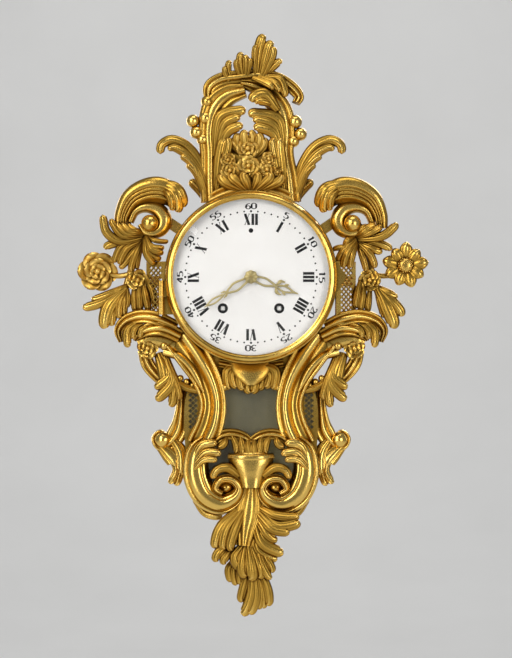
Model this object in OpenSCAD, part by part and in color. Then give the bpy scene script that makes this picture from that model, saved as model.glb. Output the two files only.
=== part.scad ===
// Rococo wall clock (cartel clock): a gilt bronze case of leaves and scrolls
// round a drum, an enamel dial behind a hinged glazed bezel, and a two-train
// spring movement with a short pendulum.
//
// Every module is drawn in the wall's own frame: x to the right, y up the wall
// and z out of the wall, with the dial's axis at x = 0, y = 0. hung() stands
// that frame up, so the wall becomes the plane y = 0 and the dial faces -Y.
// All sizes are in millimetres and all angles in degrees.

/* [Case] */
// Outer radius of the drum that holds the movement
drum_r = 97; // [92:0.5:106]
// Wall of the drum and of the waist
case_wall = 3; // [2.2:0.1:4]
// Wall to the drum's front rim
drum_depth = 88; // [84:0.5:98]
// Thickness of the flat back plate
back_t = 1.5; // [1:0.1:2.5]
// Radius of the hole that the clock hangs by
hang_r = 4; // [3:0.25:5.5]
// Height of the hanging hole above the dial's axis
hang_y = 82; // [76:1:84]
// Thickness of the pane behind the pendulum window
pane_t = 2; // [1.5:0.1:3]
// Gap left where one casting is seated on another
seat = 0.15; // [0.1:0.05:0.4]

/* [Bezel and dial] */
// Height of the bezel's moulding in front of the drum
bezel_h = 12; // [10:0.5:15]
// Width of the bezel's moulding
bezel_w = 9.5; // [8:0.25:11]
// Rise of the domed glass
glass_rise = 11; // [10.5:0.5:16]
// Thickness of the glass
glass_t = 2; // [1.5:0.1:2.5]
// Radius of the hinge barrel
knuckle_r = 3.2; // [2.8:0.1:4]
// Radius of the hinge pin
hinge_pin_r = 1.4; // [1:0.1:1.6]
// Thickness of the enamel dial
dial_t = 1.8; // [1.5:0.1:2.2]
// Rise of the domed dial at its middle
dial_rise = 3; // [2:0.25:4]
// Radius of the two winding holes
winding_hole_r = 5; // [4.6:0.1:6]

/* [Hands] */
// Clock time shown, in minutes past twelve
shown_minutes = 219.5; // [0:0.5:719.5]
// Length of the hour hand from the axis to its tip
hour_len = 56; // [48:1:62]
// Length of the minute hand from the axis to its tip
minute_len = 62; // [56:1:76]
// Thickness of the hands
hand_t = 1.2; // [0.9:0.1:1.5]

/* [Movement] */
// Radius of the two round plates
plate_r = 78; // [76.5:0.5:80]
// Thickness of the plates
plate_t = 3; // [2.4:0.1:3.4]
// Space between the plates
plate_gap = 39; // [38.5:0.5:42]
// Winding arbors' distance to each side of the dial's axis
barrel_x = 31.5; // [31:0.25:33]
// Winding arbors' distance below the dial's axis
barrel_y = 35; // [34:0.25:36]
// Running fit between a pivot and its hole
run = 0.05; // [0.03:0.01:0.08]
// Radius of the train arbors
arbor_r = 1.3; // [1.1:0.1:1.5]
// Distance from the pallet axis to the middle of the bob
pendulum_len = 161; // [150:1:166]
// Radius of the pendulum bob
bob_r = 17; // [13:0.5:19]

/* [Hidden] */
$fn = 48;
gilt = [0.82, 0.63, 0.28];
brass = [0.86, 0.72, 0.36];
steel = [0.62, 0.63, 0.66];
bronze = [0.72, 0.56, 0.32];
enamel = [0.95, 0.95, 0.92];
clear_glass = [0.75, 0.85, 0.88, 0.35];
olive = [0.36, 0.37, 0.28];

// The ornament is drawn round a drum of this radius and depth, and follows the
// real drum out and forward from there.
drawn_r = 97;
drawn_depth = 88;
waist_depth = 58 * drum_depth / drawn_depth;

// Depths out of the wall, from the drum's rim back to the movement
dial_z = drum_depth - 2;
front_z = dial_z - 8;
inner_front = front_z - plate_t;
inner_rear = inner_front - plate_gap;
rear_z = inner_rear - plate_t;
bezel_r = drum_r;
bezel_in = bezel_r - bezel_w;
dial_r = drum_r - case_wall - 3;
hinge_x = -(bezel_r + knuckle_r + 0.6);
hinge_z = drum_depth + knuckle_r + 0.4;
hinge_top = -4;
hinge_split = -22;
hinge_low = -42;
knuckle_gap = 0.4;

// Tooth forms: addendum and dedendum in modules, then half widths at root,
// pitch line and tip as shares of the pitch
wheel_form = [0.9, 1.25, 0.27, 0.205, 0.06];
pinion_form = [0.55, 1.4, 0.15, 0.165, 0.06];
wheel_t = 1.5;

// Going train: teeth and module of each wheel, and leaves of the pinion it drives
great_teeth = 84;
great_m = 0.7;
second_leaves = 12;
second_teeth = 80;
second_m = 0.6;
centre_leaves = 8;
centre_teeth = 96;
centre_m = 0.48;
third_leaves = 8;
third_teeth = 100;
third_m = 0.42;
escape_leaves = 8;
escape_teeth = 30;
escape_r = 11;

// Striking train: twelve hours and their halves are 90 blows, from ten pins and nine turns
count_teeth = 72;
count_m = 0.6;
pin_leaves = 8;
pin_teeth = 64;
pin_m = 0.5;
blow_pins = 10;
lock_leaves = 8;
lock_teeth = 56;
lock_m = 0.45;
fly_leaves = 8;

// Motion work under the dial
cannon_leaves = 12;
minute_teeth = 36;
minute_m = 0.6;
minute_leaves = 10;
hour_teeth = 40;
hour_m = 0.576;

function reach(a, b, m) = (a + b) * m / 2;
function heading(a, b) = atan2(b[1] - a[1], b[0] - a[0]);
function polar(a, r) = [r * cos(a), r * sin(a)];
// Point at ra from a and rb from b, on the left of the line from a to b when turn is 1
function meet(a, b, ra, rb, turn) =
    let (d = norm(b - a), s = (ra * ra - rb * rb + d * d) / (2 * d), h = sqrt(ra * ra - s * s))
    a + (b - a) * s / d + turn * h * [-(b - a)[1], (b - a)[0]] / d;

// Places of the arbors
centre = [0, 0];
going = [barrel_x, -barrel_y];
striking = [-barrel_x, -barrel_y];
second = meet(centre, going, reach(second_teeth, centre_leaves, second_m),
    reach(great_teeth, second_leaves, great_m), 1);
escape = [0, 42];
third = meet(centre, escape, reach(centre_teeth, third_leaves, centre_m),
    reach(third_teeth, escape_leaves, third_m), -1);
pallet = [0, 64];
count = meet(centre, striking, reach(second_teeth, centre_leaves, second_m),
    reach(great_teeth, second_leaves, great_m), -1);
pin_arbor = count + polar(100, reach(count_teeth, pin_leaves, count_m));
lock_arbor = pin_arbor + polar(60, reach(pin_teeth, lock_leaves, pin_m));
fly_arbor = lock_arbor + polar(150, reach(lock_teeth, fly_leaves, lock_m));
hammer_arbor = pin_arbor + polar(197, 26.5);
minute_arbor = polar(135, reach(cannon_leaves, minute_teeth, minute_m));
bell_at = [30, -8];
bell_r = 32;
pillar_at = [[66, 28], [-66, 28], [38, 60], [-38, 60], [0, -66]];
pillar_r = 3.5;
barrel_r = 25;

// Depths of the wheels between the plates
centre_wheel_z = inner_front - 3;
great_z = inner_front - 6.5;
pin_wheel_z = inner_front - 13.5;
lock_wheel_z = inner_front - 17.2;
third_wheel_z = inner_front - 21.5;
escape_wheel_z = inner_front - 26.5;
barrel_low = inner_rear + 5;
rear_wheel_z = inner_rear + 2.2;
// Room behind the rear plate, which the pendulum, bell and hammer share in fixed parts
back_room = rear_z - back_t;
rod_z = rear_z - back_room * 2 / 7;

module hung() {
    rotate([90, 0, 0]) children();
}

// One casting: the pieces inside are joined, or cut, as a single skin
module cast() {
    resize([0, 0, 0]) union() children();
}

module both() {
    children();
    mirror([1, 0, 0]) children();
}

// Curves through the drawn rows; a row is [x, y, z, half width]
function carried(q) =
    let (r = max(1, norm([q[0], q[1]])), f = (r + drum_r - drawn_r) / r)
    [q[0] * f, q[1] * f, q[2] * drum_depth / drawn_depth, q[3]];
function bend(a, b, c, d, t) = 0.5 * (2 * b + (c - a) * t + (2 * a - 5 * b + 4 * c - d) * t * t
    + (3 * b - 3 * c + d - a) * t * t * t);
function row(rows, i) =
    i < 0 ? 2 * rows[0] - rows[1]
    : i >= len(rows) ? 2 * rows[len(rows) - 1] - rows[len(rows) - 2]
    : rows[i];
function at(rows, u) =
    let (s = u * (len(rows) - 1), i = min(floor(s), len(rows) - 2))
    bend(row(rows, i - 1), rows[i], rows[i + 1], row(rows, i + 2), s - i);
function place(p) = [p[0], p[1], p[2]];
function unit(v) = v / norm(v);
function travel(path, i) =
    unit(place(path[min(i + 1, len(path) - 1)]) - place(path[max(i - 1, 0)]));
function ring(path, i, profile, t) =
    let (d = travel(path, i), s = unit([-d[1], d[0], 0]), n = cross(d, s))
    [for (q = profile) place(path[i]) + s * q[0] * path[i][3] + n * q[1] * t[i]];

// A skin through the rings, closed at both ends
module skin(path, profile, t) {
    m = len(profile);
    n = len(path);
    points = [for (i = [0:n - 1]) each ring(path, i, profile, t)];
    sides = [for (i = [0:n - 2], j = [0:m - 1])
        each [[i * m + j, i * m + m + j, i * m + m + (j + 1) % m],
            [i * m + j, i * m + m + (j + 1) % m, i * m + (j + 1) % m]]];
    ends = [[for (j = [0:m - 1]) j], [for (j = [0:m - 1]) (n - 1) * m + m - 1 - j]];
    polyhedron(points, concat(sides, ends), convexity = 6);
}

// Sections across a band or leaf: shares of the half width and of the thickness
scroll_form = [[-1, -1], [1, -1], [1, 0.1], [0.55, 0.9], [0, 0.5], [-0.55, 0.95], [-1, 0.1]];
stem_form = [[-1, -0.8], [1, -0.8], [0.8, 0.6], [0, 1], [-0.8, 0.6]];
flute_form = [[-1, -0.5], [1, -0.5], [0, 1]];
// Step in level between one flute of a leaf and the next
flute_step = 0.45;

// A moulded band of thickness t, grown all round by g
module scroll(rows, t = 9, g = 0, n = 22, form = scroll_form) {
    drawn = [for (q = rows) carried(q)];
    path = [for (k = [0:n]) let (p = at(drawn, k / n)) [p[0], p[1], p[2], max(1, p[3]) + g]];
    skin(path, form, [for (k = [0:n]) t * min(1, 0.35 + path[k][3] / 9) + g]);
}

// One round-tipped flute of a leaf
module finger(rows, t, g = 0, n = 2) {
    drawn = [for (q = rows) carried(q)];
    path = [for (k = [0:n])
        let (p = at(drawn, k / n), close = k == n ? 0.5 : 1)
        [p[0], p[1], p[2], max(0.8, p[3]) * close + g]];
    skin(path, flute_form, [for (k = [0:n]) t * (k == n ? 0.5 : min(1, 0.3 + path[k][3] / 6)) + g]);
}

// Flutes spread from about one root, at levels z at the root, midway and at the tip
module fan(flutes, z, t, g = 0) {
    for (i = [0:len(flutes) - 1]) {
        f = flutes[i];
        rise = flute_step * (i * 7 % 5);
        finger([[f[0], f[1], z[0] + rise, 0.6 * f[6]], [f[2], f[3], z[1] + rise, f[6]],
            [f[4], f[5], z[2] + rise, 0.9 * f[6]]], t, g);
    }
}

// A blossom of lobed cups, one inside another, standing on the level z
module blossom(middle, z, r, lobes = 5, h = 8, cups = 2, g = 0) {
    sectors = lobes * 2;
    levels = [[0.45, 0], [1, 0.6], [0.3, 0.9]];
    low = 3 * sectors;
    sides = [for (i = [0:1], k = [0:sectors - 1]) let (m = (k + 1) % sectors)
        each [[i * sectors + k, (i + 1) * sectors + k, (i + 1) * sectors + m],
            [i * sectors + k, (i + 1) * sectors + m, i * sectors + m]]];
    ends = [for (k = [0:sectors - 1]) let (m = (k + 1) % sectors)
        each [[low, k, m], [low + 1, 2 * sectors + m, 2 * sectors + k]]];
    translate(place(carried([middle[0], middle[1], z, 0]))) for (c = [0:cups - 1]) {
        lift = 0.28 * h * c;
        rims = [for (q = levels, k = [0:sectors - 1])
            let (a = 360 * k / sectors + c * 180 / lobes,
                lobe = q[0] > 0.5 ? 0.8 + 0.2 * abs(sin(lobes * 180 * k / sectors)) : 1,
                rr = (r * (1 - 0.32 * c) + g) * q[0] * lobe)
            [rr * cos(a), rr * sin(a), lift + q[1] * (h + 2 * g) - g]];
        polyhedron(concat(rims, [[0, 0, lift - g],
            [0, 0, lift + h / 2]]), concat(sides, ends), convexity = 4);
    }
}

module berry(x, y, z, r, g = 0) {
    q = carried([x, y, z, 1]);
    translate(place(q)) sphere(r + g, $fn = 6);
}

// Case: drum, waist and the ribs that carry the wings

waist_side = [[80, -56], [72, -95], [71, -120], [75, -142], [76, -162], [75, -185], [72, -215], [62, -245],
    [40, -261], [0, -266]];
window_side = [[20, -112], [34, -124], [36, -150], [40, -175], [50, -200], [48, -222], [36, -238],
    [0, -244]];

function outline(side, n = 5) =
    let (drawn = [for (q = side) let (c = carried([q[0], q[1], 0, 0])) [c[0], c[1]]],
        half = [for (k = [0:n * (len(side) - 1)]) at(drawn, k / (n * (len(side) - 1)))])
    concat(half, [for (k = [len(half) - 2:-1:0]) [-half[k][0], half[k][1]]]);

module waist_outline() {
    polygon(outline(waist_side));
}

// Diamond holes on a square lattice, in a frame w wide and h high
module diaper(w, h, pitch, hole) {
    nx = floor(w / pitch);
    ny = floor(h / pitch);
    for (i = [0:nx - 1], j = [0:ny - 1]) {
        translate([(i - (nx - 1) / 2) * pitch, (j - (ny - 1) / 2) * pitch]) circle(hole, $fn = 4);
    }
    for (i = [0:nx - 2], j = [0:ny - 2]) {
        translate([(i - (nx - 2) / 2) * pitch, (j - (ny - 2) / 2) * pitch]) circle(hole, $fn = 4);
    }
}

rib_turns = [34, -2, -38];
rib_far = [26, 22, 24];

module rib(k, g = 0) {
    rotate(rib_turns[k]) translate([drum_r - 1.5, -6 - g, 22 - g])
        cube([rib_far[k] + 1.5 + g, 12 + 2 * g, 26 + 2 * g]);
}

module case_body() {
    color(gilt) difference() {
        union() {
            translate([0, 0, back_t]) cylinder(r = drum_r, h = drum_depth - back_t, $fn = 96);
            translate([0, 0, back_t]) linear_extrude(waist_depth - back_t) waist_outline();
            both() for (k = [0:2]) rib(k);
            translate([hinge_x, hinge_low, hinge_z]) rotate([-90, 0, 0])
                cylinder(r = knuckle_r, h = hinge_split - hinge_low - knuckle_gap / 2);
            translate([hinge_x, hinge_low, drum_depth - 8])
                cube([bezel_r + knuckle_r - 84, hinge_split - hinge_low - knuckle_gap / 2, 7.6]);
            translate([hinge_x - knuckle_r, hinge_low, drum_depth - 8])
                cube([knuckle_r * 1.2, hinge_split - hinge_low - knuckle_gap / 2, hinge_z - drum_depth +
                    8]);
        }
        translate([0, 0, back_t - 1]) cylinder(r = drum_r - case_wall, h = drum_depth - front_z + 200,
            $fn = 96);
        translate([0, 0, back_t - 1]) linear_extrude(waist_depth - case_wall - back_t + 1)
            offset(delta = -case_wall) waist_outline();
        linear_extrude(waist_depth + 1) polygon(outline(window_side));
        both() translate([65.5, -148, waist_depth - case_wall - 1]) linear_extrude(case_wall + 2)
            diaper(12, 50, 6, 2.6);
        translate([hinge_x, hinge_low - 1, hinge_z]) rotate([-90, 0, 0]) cylinder(r = hinge_pin_r, h = 80);
    }
    // Shelf inside the drum that the movement's straps are screwed to
    color(gilt) translate([0, 0, front_z - 3]) difference() {
        cylinder(r = drum_r - case_wall, h = 3, $fn = 96);
        translate([0, 0, -1]) cylinder(r = shelf_in, h = 5, $fn = 96);
        strap_screws(-1, 5, screw_r, false, true);
    }
}

module back_plate() {
    color(olive) difference() {
        union() {
            cylinder(r = drum_r, h = back_t, $fn = 96);
            linear_extrude(back_t) waist_outline();
        }
        translate([0, hang_y, -1]) cylinder(r = hang_r, h = back_t + 2);
    }
}

// Pane of the pendulum window, held in the waist's front wall
module window_pane() {
    color(clear_glass) translate([0, 0, waist_depth - case_wall - pane_t])
        linear_extrude(pane_t) intersection() {
            offset(delta = -case_wall - 0.3) waist_outline();
            translate([-70, -256]) square([140, 146 - (drum_r - drawn_r)]);
            difference() {
                translate([-100, -300]) square([200, 300]);
                circle(drum_r - case_wall + 1, $fn = 96);
            }
        }
}

// Space that the castings leave free: the case, its ribs and the bezel with its hinge
module case_space(g = seat) {
    cylinder(r = (drum_r + g) / cos(180 / 96), h = drum_depth + g, $fn = 96);
    linear_extrude(waist_depth + g) offset(delta = g) waist_outline();
    both() for (k = [0:2]) rib(k, g);
    translate([0, 0, drum_depth - 1]) cylinder(r = bezel_r + 1, h = 60, $fn = 96);
    translate([hinge_x - knuckle_r - 1, hinge_low - 1.5, drum_depth - 9])
        cube([12, hinge_top - hinge_low + 3, 40]);
    translate([bezel_r - 5, -19, drum_depth - 1]) cube([18, 38, 40]);
}

// Castings. Rows are [x, y, z, half width] along the middle of a band, for the
// left-hand one of each pair; the right-hand one is its mirror image unless it
// has rows of its own. A flute of a leaf is [x, y at its root, x, y midway,
// x, y at its tip, half width].

pilaster_rows = [[-80, -68, 60, 20], [-64, -91, 62, 19], [-50, -115, 62, 16.5], [-43, -140, 62, 15],
    [-46, -165, 62, 16], [-57, -190, 61, 16]];

module pilaster_form(g = 0) {
    scroll(pilaster_rows, 10, g, 10);
}

lower_scroll_rows = [[-50, -184, 62, 8], [-60, -198, 62, 13], [-62, -222, 62, 15], [-53, -245, 62, 14.5],
    [-35, -256, 62, 12], [-19, -250, 63, 9], [-13, -238, 64, 6.5], [-21, -228, 66, 5.5], [-34, -228, 67, 5],
    [-40, -238, 67, 4], [-33, -244, 67, 3]];
under_flutes = [[-64, -252, -52, -266, -34, -271, 5]];
head_flutes = [[-66, -206, -56, -190, -40, -186, 5.5], [-64, -211, -52, -199, -35, -199, 6]];

module lower_scroll_form(g = 0) {
    scroll(lower_scroll_rows, 10, g, 15);
    berry(-28, -237, 59, 9, g);
    fan(under_flutes, [54, 56, 58], 4.5, g);
    fan(head_flutes, [66, 69, 70], 4, g);
}

side_volute_rows = [[-79, -118, 46, 6], [-79, -140, 46, 6], [-80, -158, 46, 7], [-84, -174, 45, 9],
    [-93, -187, 44, 9], [-103, -190, 44, 7], [-108, -183, 44, 5.5], [-103, -177, 45, 4.5],
        [-98, -182, 46, 3]];
drop_flutes = [[-104, -188, -94, -204, -87, -222, 8], [-90, -182, -80, -198, -77, -222, 8],
    [-94, -204, -89, -220, -90, -236, 5], [-86, -204, -82, -220, -82, -232, 5]];

module side_volute_form(g = 0) {
    scroll(side_volute_rows, 8, g, 12);
    fan(drop_flutes, [44, 47, 48], 5, g);
    berry(-100, -184, 46, 9, g);
}

wing_scroll_rows = [[-146, 56, 56, 9], [-144, 71, 58, 10.5], [-135, 87, 60, 13.5], [-120, 95.5, 61, 16],
    [-104, 97, 62, 17], [-91, 92, 61, 14], [-84, 83, 60, 8]];
wing_cove_rows = [[-137, 63, 55, 4], [-131, 75, 55, 5], [-119, 80, 56, 6.5], [-106, 77, 57, 8.5],
    [-99, 67, 58, 9],
    [-101, 56, 59, 8], [-110, 50, 60, 6], [-120, 52, 60, 4.5], [-126, 60, 60, 3]];
wing_end_flutes = [[-107, 107, -86, 100, -76, 82, 8], [-103, 104, -87, 95, -81, 75, 6.5],
    [-100, 100, -91, 91, -88, 77, 5]];

module wing_scroll_form(g = 0) {
    scroll(wing_scroll_rows, 10, g, 10);
    scroll(wing_cove_rows, 7, g, 11, stem_form);
    fan(wing_end_flutes, [59, 69, 66], 5, g);
    berry(-114.5, 61, 64, 10, g);
}

left_horn_rows = [[-118, 46, 56, 3], [-146, 41, 63, 5], [-163, 51, 64, 5.4], [-168, 71, 62, 4.6]];
left_calyx_flutes = [[-119, 48, -140, 49, -157, 63, 6]];
left_side_flutes = [[-121, 44, -144, 41, -167, 35, 5], [-123, 43, -146, 37, -155, 17, 6],
    [-122, 43, -132, 28, -140, 8, 6]];
left_near_flutes = [[-118, 47, -110, 40, -96, 36, 5], [-120, 44, -116, 30, -104, 20, 6.5]];
left_low_flutes = [[-140, -9, -158, -18, -180, -26, 5], [-142, -10, -164, -26, -190, -35, 5.5],
    [-142, -12, -158, -31, -165, -56, 9], [-140, -13, -146, -27, -147, -44, 6.5]];
left_bud_flutes = [[-132, -8, -131, -24, -129, -38, 5.4], [-123, -8, -119, -22, -116, -38, 5]];
right_calyx_flutes = [[-117, 43, -146, 46, -166, 60, 5.2], [-118, 46, -129, 52, -139, 56, 5]];
right_side_flutes = [[-119, 42, -140, 40, -159, 33, 5], [-120, 40, -136, 32, -144, 18, 6],
    [-120, 40, -126, 24, -132, 7, 5]];
right_near_flutes = [[-118, 43, -106, 33, -97, 18, 4.6], [-119, 40, -111, 28, -106, 12, 6]];
right_low_flutes = [[-142, -10, -154, -17, -164, -22, 5], [-143, -11, -158, -26, -172, -42, 6.5],
    [-143, -13, -153, -32, -163, -56, 8], [-142, -14, -147, -29, -151, -44, 5]];
right_bud_flutes = [[-134, -10, -132, -26, -131, -39, 4.6], [-125, -6, -122, -20, -120, -36, 5]];
wing_stem_rows = [[-121, 45, 54, 4], [-131, 25, 53, 4], [-137, 6, 52, 4], [-142, -11, 52, 4]];

module wing_leaves_form(calyx, sides, near, low, bud, flower, g = 0) {
    fan(calyx, [56, 64, 62], 4.5, g);
    fan(sides, [53, 59, 57], 4.2, g);
    fan(near, [60, 66, 64], 4.2, g);
    scroll(wing_stem_rows, 4, g, 5, stem_form);
    fan(low, [53, 58, 56], 4.5, g);
    fan(bud, [55, 59, 57], 4, g);
    blossom([flower[0], flower[1]], 50, flower[2], 5, 14, 1, g);
}

module left_wing_leaves_form(g = 0) {
    finger(left_horn_rows, 4.5, g, 3);
    wing_leaves_form(left_calyx_flutes, left_side_flutes, left_near_flutes, left_low_flutes,
        left_bud_flutes,
        [-128, -3, 12], g);
}

module right_wing_leaves_form(g = 0) {
    wing_leaves_form(right_calyx_flutes, right_side_flutes, right_near_flutes, right_low_flutes,
        right_bud_flutes,
        [-134, -3, 13], g);
}

rose_stem_rows = [[-138, 4, 52, 3], [-150, 2, 50, 3], [-164, 4, 50, 3], [-176, 8, 50, 3]];
rose_at = [-174, 7];
sunflower_at = [-175, 14];

module rose_form(g = 0) {
    scroll(rose_stem_rows, 4, g, 4, stem_form);
    blossom(rose_at, 48, 22, 5, 11, 2, g);
    berry(rose_at[0], rose_at[1], 57, 7, g);
}

module sunflower_form(g = 0) {
    scroll(rose_stem_rows, 4, g, 4, stem_form);
    blossom(sunflower_at, 48, 26, 9, 8, 1, g);
    blossom(sunflower_at, 52, 9.5, 6, 9, 1, g);
}

wave_rows = [[-84, -56, 66, 7], [-104, -47, 68, 8], [-124, -44, 64, 8], [-141, -49, 58, 7.5],
    [-150, -60, 54, 5.5],
    [-147, -73, 54, 3]];
under_wave_rows = [[-80, -66, 66, 8], [-98, -58, 68, 8.5], [-114, -58, 65, 8], [-127, -64, 60, 6],
    [-132, -70, 57, 3]];
wave_flutes = [[-128, -50, -139, -60, -140, -78, 5]];
shade_rows = [[-86, -76, 58, 9], [-102, -71, 58, 9], [-116, -70, 57, 7], [-128, -73, 55, 4]];

module shoulder_form(g = 0) {
    scroll(wave_rows, 7, g, 8, stem_form);
    scroll(under_wave_rows, 7, g, 6, stem_form);
    fan(wave_flutes, [62, 63, 62], 4, g);
    scroll(shade_rows, 6, g, 4, stem_form);
    blossom([-117, -80], 55, 12, 5, 11, 1, g);
    berry(-98, -77, 60, 5.5, g);
}

bracket_rows = [[-122, -82, 48, 7], [-117, -98, 48, 8], [-106, -112, 51, 7], [-92, -124, 54.5, 5.5]];
pendant_flutes = [[-105, -86, -98, -104, -96, -122, 8], [-97, -90, -91, -112, -106, -127, 5.5],
    [-96, -92, -89, -118, -104, -139, 6], [-95, -92, -88, -120, -87, -146, 5.4],
        [-94, -95, -82, -119, -56, -130, 5]];
loop_rows = [[-98, -84, 58, 5.5], [-82, -89, 62, 5], [-69, -101, 63, 5], [-60, -116, 63, 4.5],
    [-54, -129, 62, 2]];

module waist_leaf_form(g = 0) {
    scroll(bracket_rows, 6, g, 6, stem_form);
    fan(pendant_flutes, [53, 57, 55], 4.5, g);
    scroll(loop_rows, 6, g, 7, stem_form);
}

shell_flutes = [[-2, -97, -26, -104, -27, -126, 7], [-1, -97, -13, -110, -13, -126, 8],
    [0, -98, 0, -112, 0, -131, 9],
    [1, -97, 13, -110, 13, -126, 8], [2, -97, 26, -104, 27, -126, 7]];
shell_bar_rows = [[-36, -97, 60, 5], [0, -102, 62, 5], [36, -97, 60, 5]];

module window_shell_form(g = 0) {
    fan(shell_flutes, [61, 65, 63], 5, g);
    scroll(shell_bar_rows, 6, g, 4, stem_form);
}

arch_rows = [[1, -187, 62, 5], [-9, -180, 63, 6], [-21, -177, 63, 6.5], [-33, -179, 63, 6.5],
    [-42, -186, 63, 5]];
arch_flutes = [[-20, -178, -17, -188, -16, -198, 5], [-7, -182, -6, -191, -6, -201, 6],
    [-28, -180, -30, -187, -36, -192, 4.5]];

module lower_arch_form(g = 0) {
    both() {
        scroll(arch_rows, 6, g, 7, stem_form);
        fan(arch_flutes, [63, 66, 65], 4, g);
    }
}

vase_rows = [[0, -203, 62, 25], [0, -207, 65, 24.5], [0, -216, 65, 20], [0, -226, 64, 16.5],
    [0, -237, 64, 14]];
tongue_rows = [[0, -234, 63, 12], [-1, -250, 62.5, 18], [-3, -268, 65, 22], [-6, -286, 67, 17],
    [-8, -303, 69, 11]];
vase_curl_rows = [[-14, -224, 68, 5], [-26, -215, 70, 5.5], [-38, -217, 71, 5], [-44, -227, 71, 4]];

module lower_vase_form(g = 0) {
    scroll(vase_rows, 11, g, 5, stem_form);
    scroll(tongue_rows, 9, g, 6);
    both() finger(vase_curl_rows, 4.5, g, 3);
}

left_spray_flutes = [[-10, -258, -32, -280, -42, -304, 7.5], [-9, -260, -25, -282, -31, -307, 7],
    [-8, -264, -17, -284, -22, -306, 6], [-6, -306, -26, -308, -41, -319, 6.5]];
right_spray_flutes = [[6, -258, 26, -268, 54, -271, 5.5], [6, -264, 28, -280, 54, -279, 7],
    [5, -270, 16, -286, 28, -296, 7], [4, -276, 12, -298, 35, -312, 7.5],
        [11, -297, 15, -318, 24, -337, 6]];
middle_spray_flutes = [[-6, -298, -17, -315, -13, -330, 7], [-4, -298, -4, -324, -3, -340, 8],
    [-2, -298, 8, -322, 12, -338, 7]];

module bottom_spray_form(g = 0) {
    fan(left_spray_flutes, [62, 70, 70], 5, g);
    fan(right_spray_flutes, [62, 70, 69], 5, g);
    fan(middle_spray_flutes, [64, 72, 70], 5, g);
}

tail_side_flutes = [[-9, -314, -24, -328, -23, -344, 6], [-8, -318, -15, -332, -15, -346, 5]];
tail_flutes = [[-2, -326, -8, -348, -12, -366, 5.4], [1, -326, 3, -355, -6, -382, 7.5],
    [6, -326, 11, -354, 9, -375, 6.5], [9, -326, 18, -350, 20, -370, 6]];

module tail_form(g = 0) {
    fan(tail_side_flutes, [58, 62, 62], 4.2, g);
    fan(tail_flutes, [60, 64, 62], 4.6, g);
}

left_arm_rows = [[-46, 86, 52, 11], [-47, 114, 50, 11], [-47, 142, 48, 11.5], [-48, 168, 48, 12],
    [-42, 192, 48, 14.5],
    [-28, 207, 48, 13], [-7, 213, 50, 8]];
right_arm_rows = [[46, 86, 52, 11], [43, 114, 50, 10.5], [38, 142, 48, 10.5], [39, 166, 48, 11.5],
    [34, 189, 48, 13],
    [22, 206, 48, 12], [6, 216, 48, 8.5], [-12, 221, 50, 4]];
outer_curl_rows = [
    [[-50, 92, 50, 5], [-56, 122, 50, 6], [-70, 146, 50, 6.4], [-88, 156, 52, 6], [-101, 151, 54, 5.4],
        [-103, 140, 55, 5]],
    [[-51, 92, 51, 5], [-58, 117, 52, 6], [-71, 136, 53, 6], [-86, 146, 54, 5]],
    [[-52, 91, 50, 4], [-58, 110, 52, 5], [-66, 123, 53, 4.6], [-74, 130, 54, 4]],
    [[-50, 88, 47, 5], [-58, 100, 46, 6], [-70, 111, 45, 5]]];
left_inner_flutes = [[-42, 138, -36, 180, -7, 191, 8], [-37, 142, -27, 164, -11, 173, 7]];
left_fill_flutes = [[-41, 96, -35, 130, -27, 158, 8]];
right_inner_flutes = [[38, 140, 31, 178, -3, 188, 8], [33, 144, 25, 163, 4, 172, 7]];
right_fill_flutes = [[39, 96, 33, 128, 27, 158, 8]];
right_top_flutes = [[30, 190, 16, 206, 0, 203, 8]];
left_berries = [[-50, 200, 7], [-53, 181, 8], [-65, 176, 8], [-61, 165, 8], [-55, 156, 7]];
right_berries = [[50, 177, 8], [55, 163, 8], [48, 155, 7]];

module left_arm_form(g = 0) {
    scroll(left_arm_rows, 8, g, 9);
    for (rows = outer_curl_rows) finger(rows, 4.5, g, 4);
    fan(left_inner_flutes, [51, 54, 55], 4.2, g);
    fan(left_fill_flutes, [48, 47, 47], 4.2, g);
    for (q = left_berries) berry(q[0], q[1], 48, q[2], g);
}

module right_arm_form(g = 0) {
    scroll(right_arm_rows, 8, g, 10);
    mirror([1, 0, 0]) for (rows = outer_curl_rows) finger(rows, 4.5, g, 4);
    fan(right_inner_flutes, [51, 54, 55], 4.2, g);
    fan(right_fill_flutes, [48, 47, 47], 4.2, g);
    fan(right_top_flutes, [54, 58, 58], 5, g);
    for (q = right_berries) berry(q[0], q[1], 48, q[2], g);
}

bouquet_base_rows = [[-46, 88, 54, 8], [-24, 97, 56, 9], [0, 100, 57, 9], [24, 97, 56, 9], [46, 88, 54, 8]];
bouquet_ground_rows = [[0, 94, 49, 33], [0, 118, 49, 35], [0, 140, 49, 29], [0, 157, 48, 17]];
base_flutes = [[-6, 98, -22, 108, -33, 116, 8], [-2, 99, -7, 109, -10, 117, 8], [2, 99, 7, 109, 9, 117, 8],
    [6, 98, 22, 108, 33, 116, 8]];
fan_flutes = [[-4, 132, -17, 148, -22, 156, 8], [-3, 134, -8, 152, -9, 164, 8],
    [-2, 134, 2, 152, 3, 165, 8],
    [-1, 132, 11, 147, 15, 157, 8]];

module bouquet_form(g = 0) {
    scroll(bouquet_base_rows, 7, g, 6, stem_form);
    scroll(bouquet_ground_rows, 5, g, 4, stem_form);
    fan(base_flutes, [58, 62, 60], 5, g);
    fan(fan_flutes, [50, 53, 54], 4.5, g);
    blossom([-4, 143], 52, 14, 5, 11, 1, g);
    blossom([-23, 124], 54, 13, 5, 10, 1, g);
    blossom([-1, 122], 54, 13, 5, 10, 1, g);
    blossom([19, 124], 54, 13, 5, 10, 1, g);
}

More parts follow.
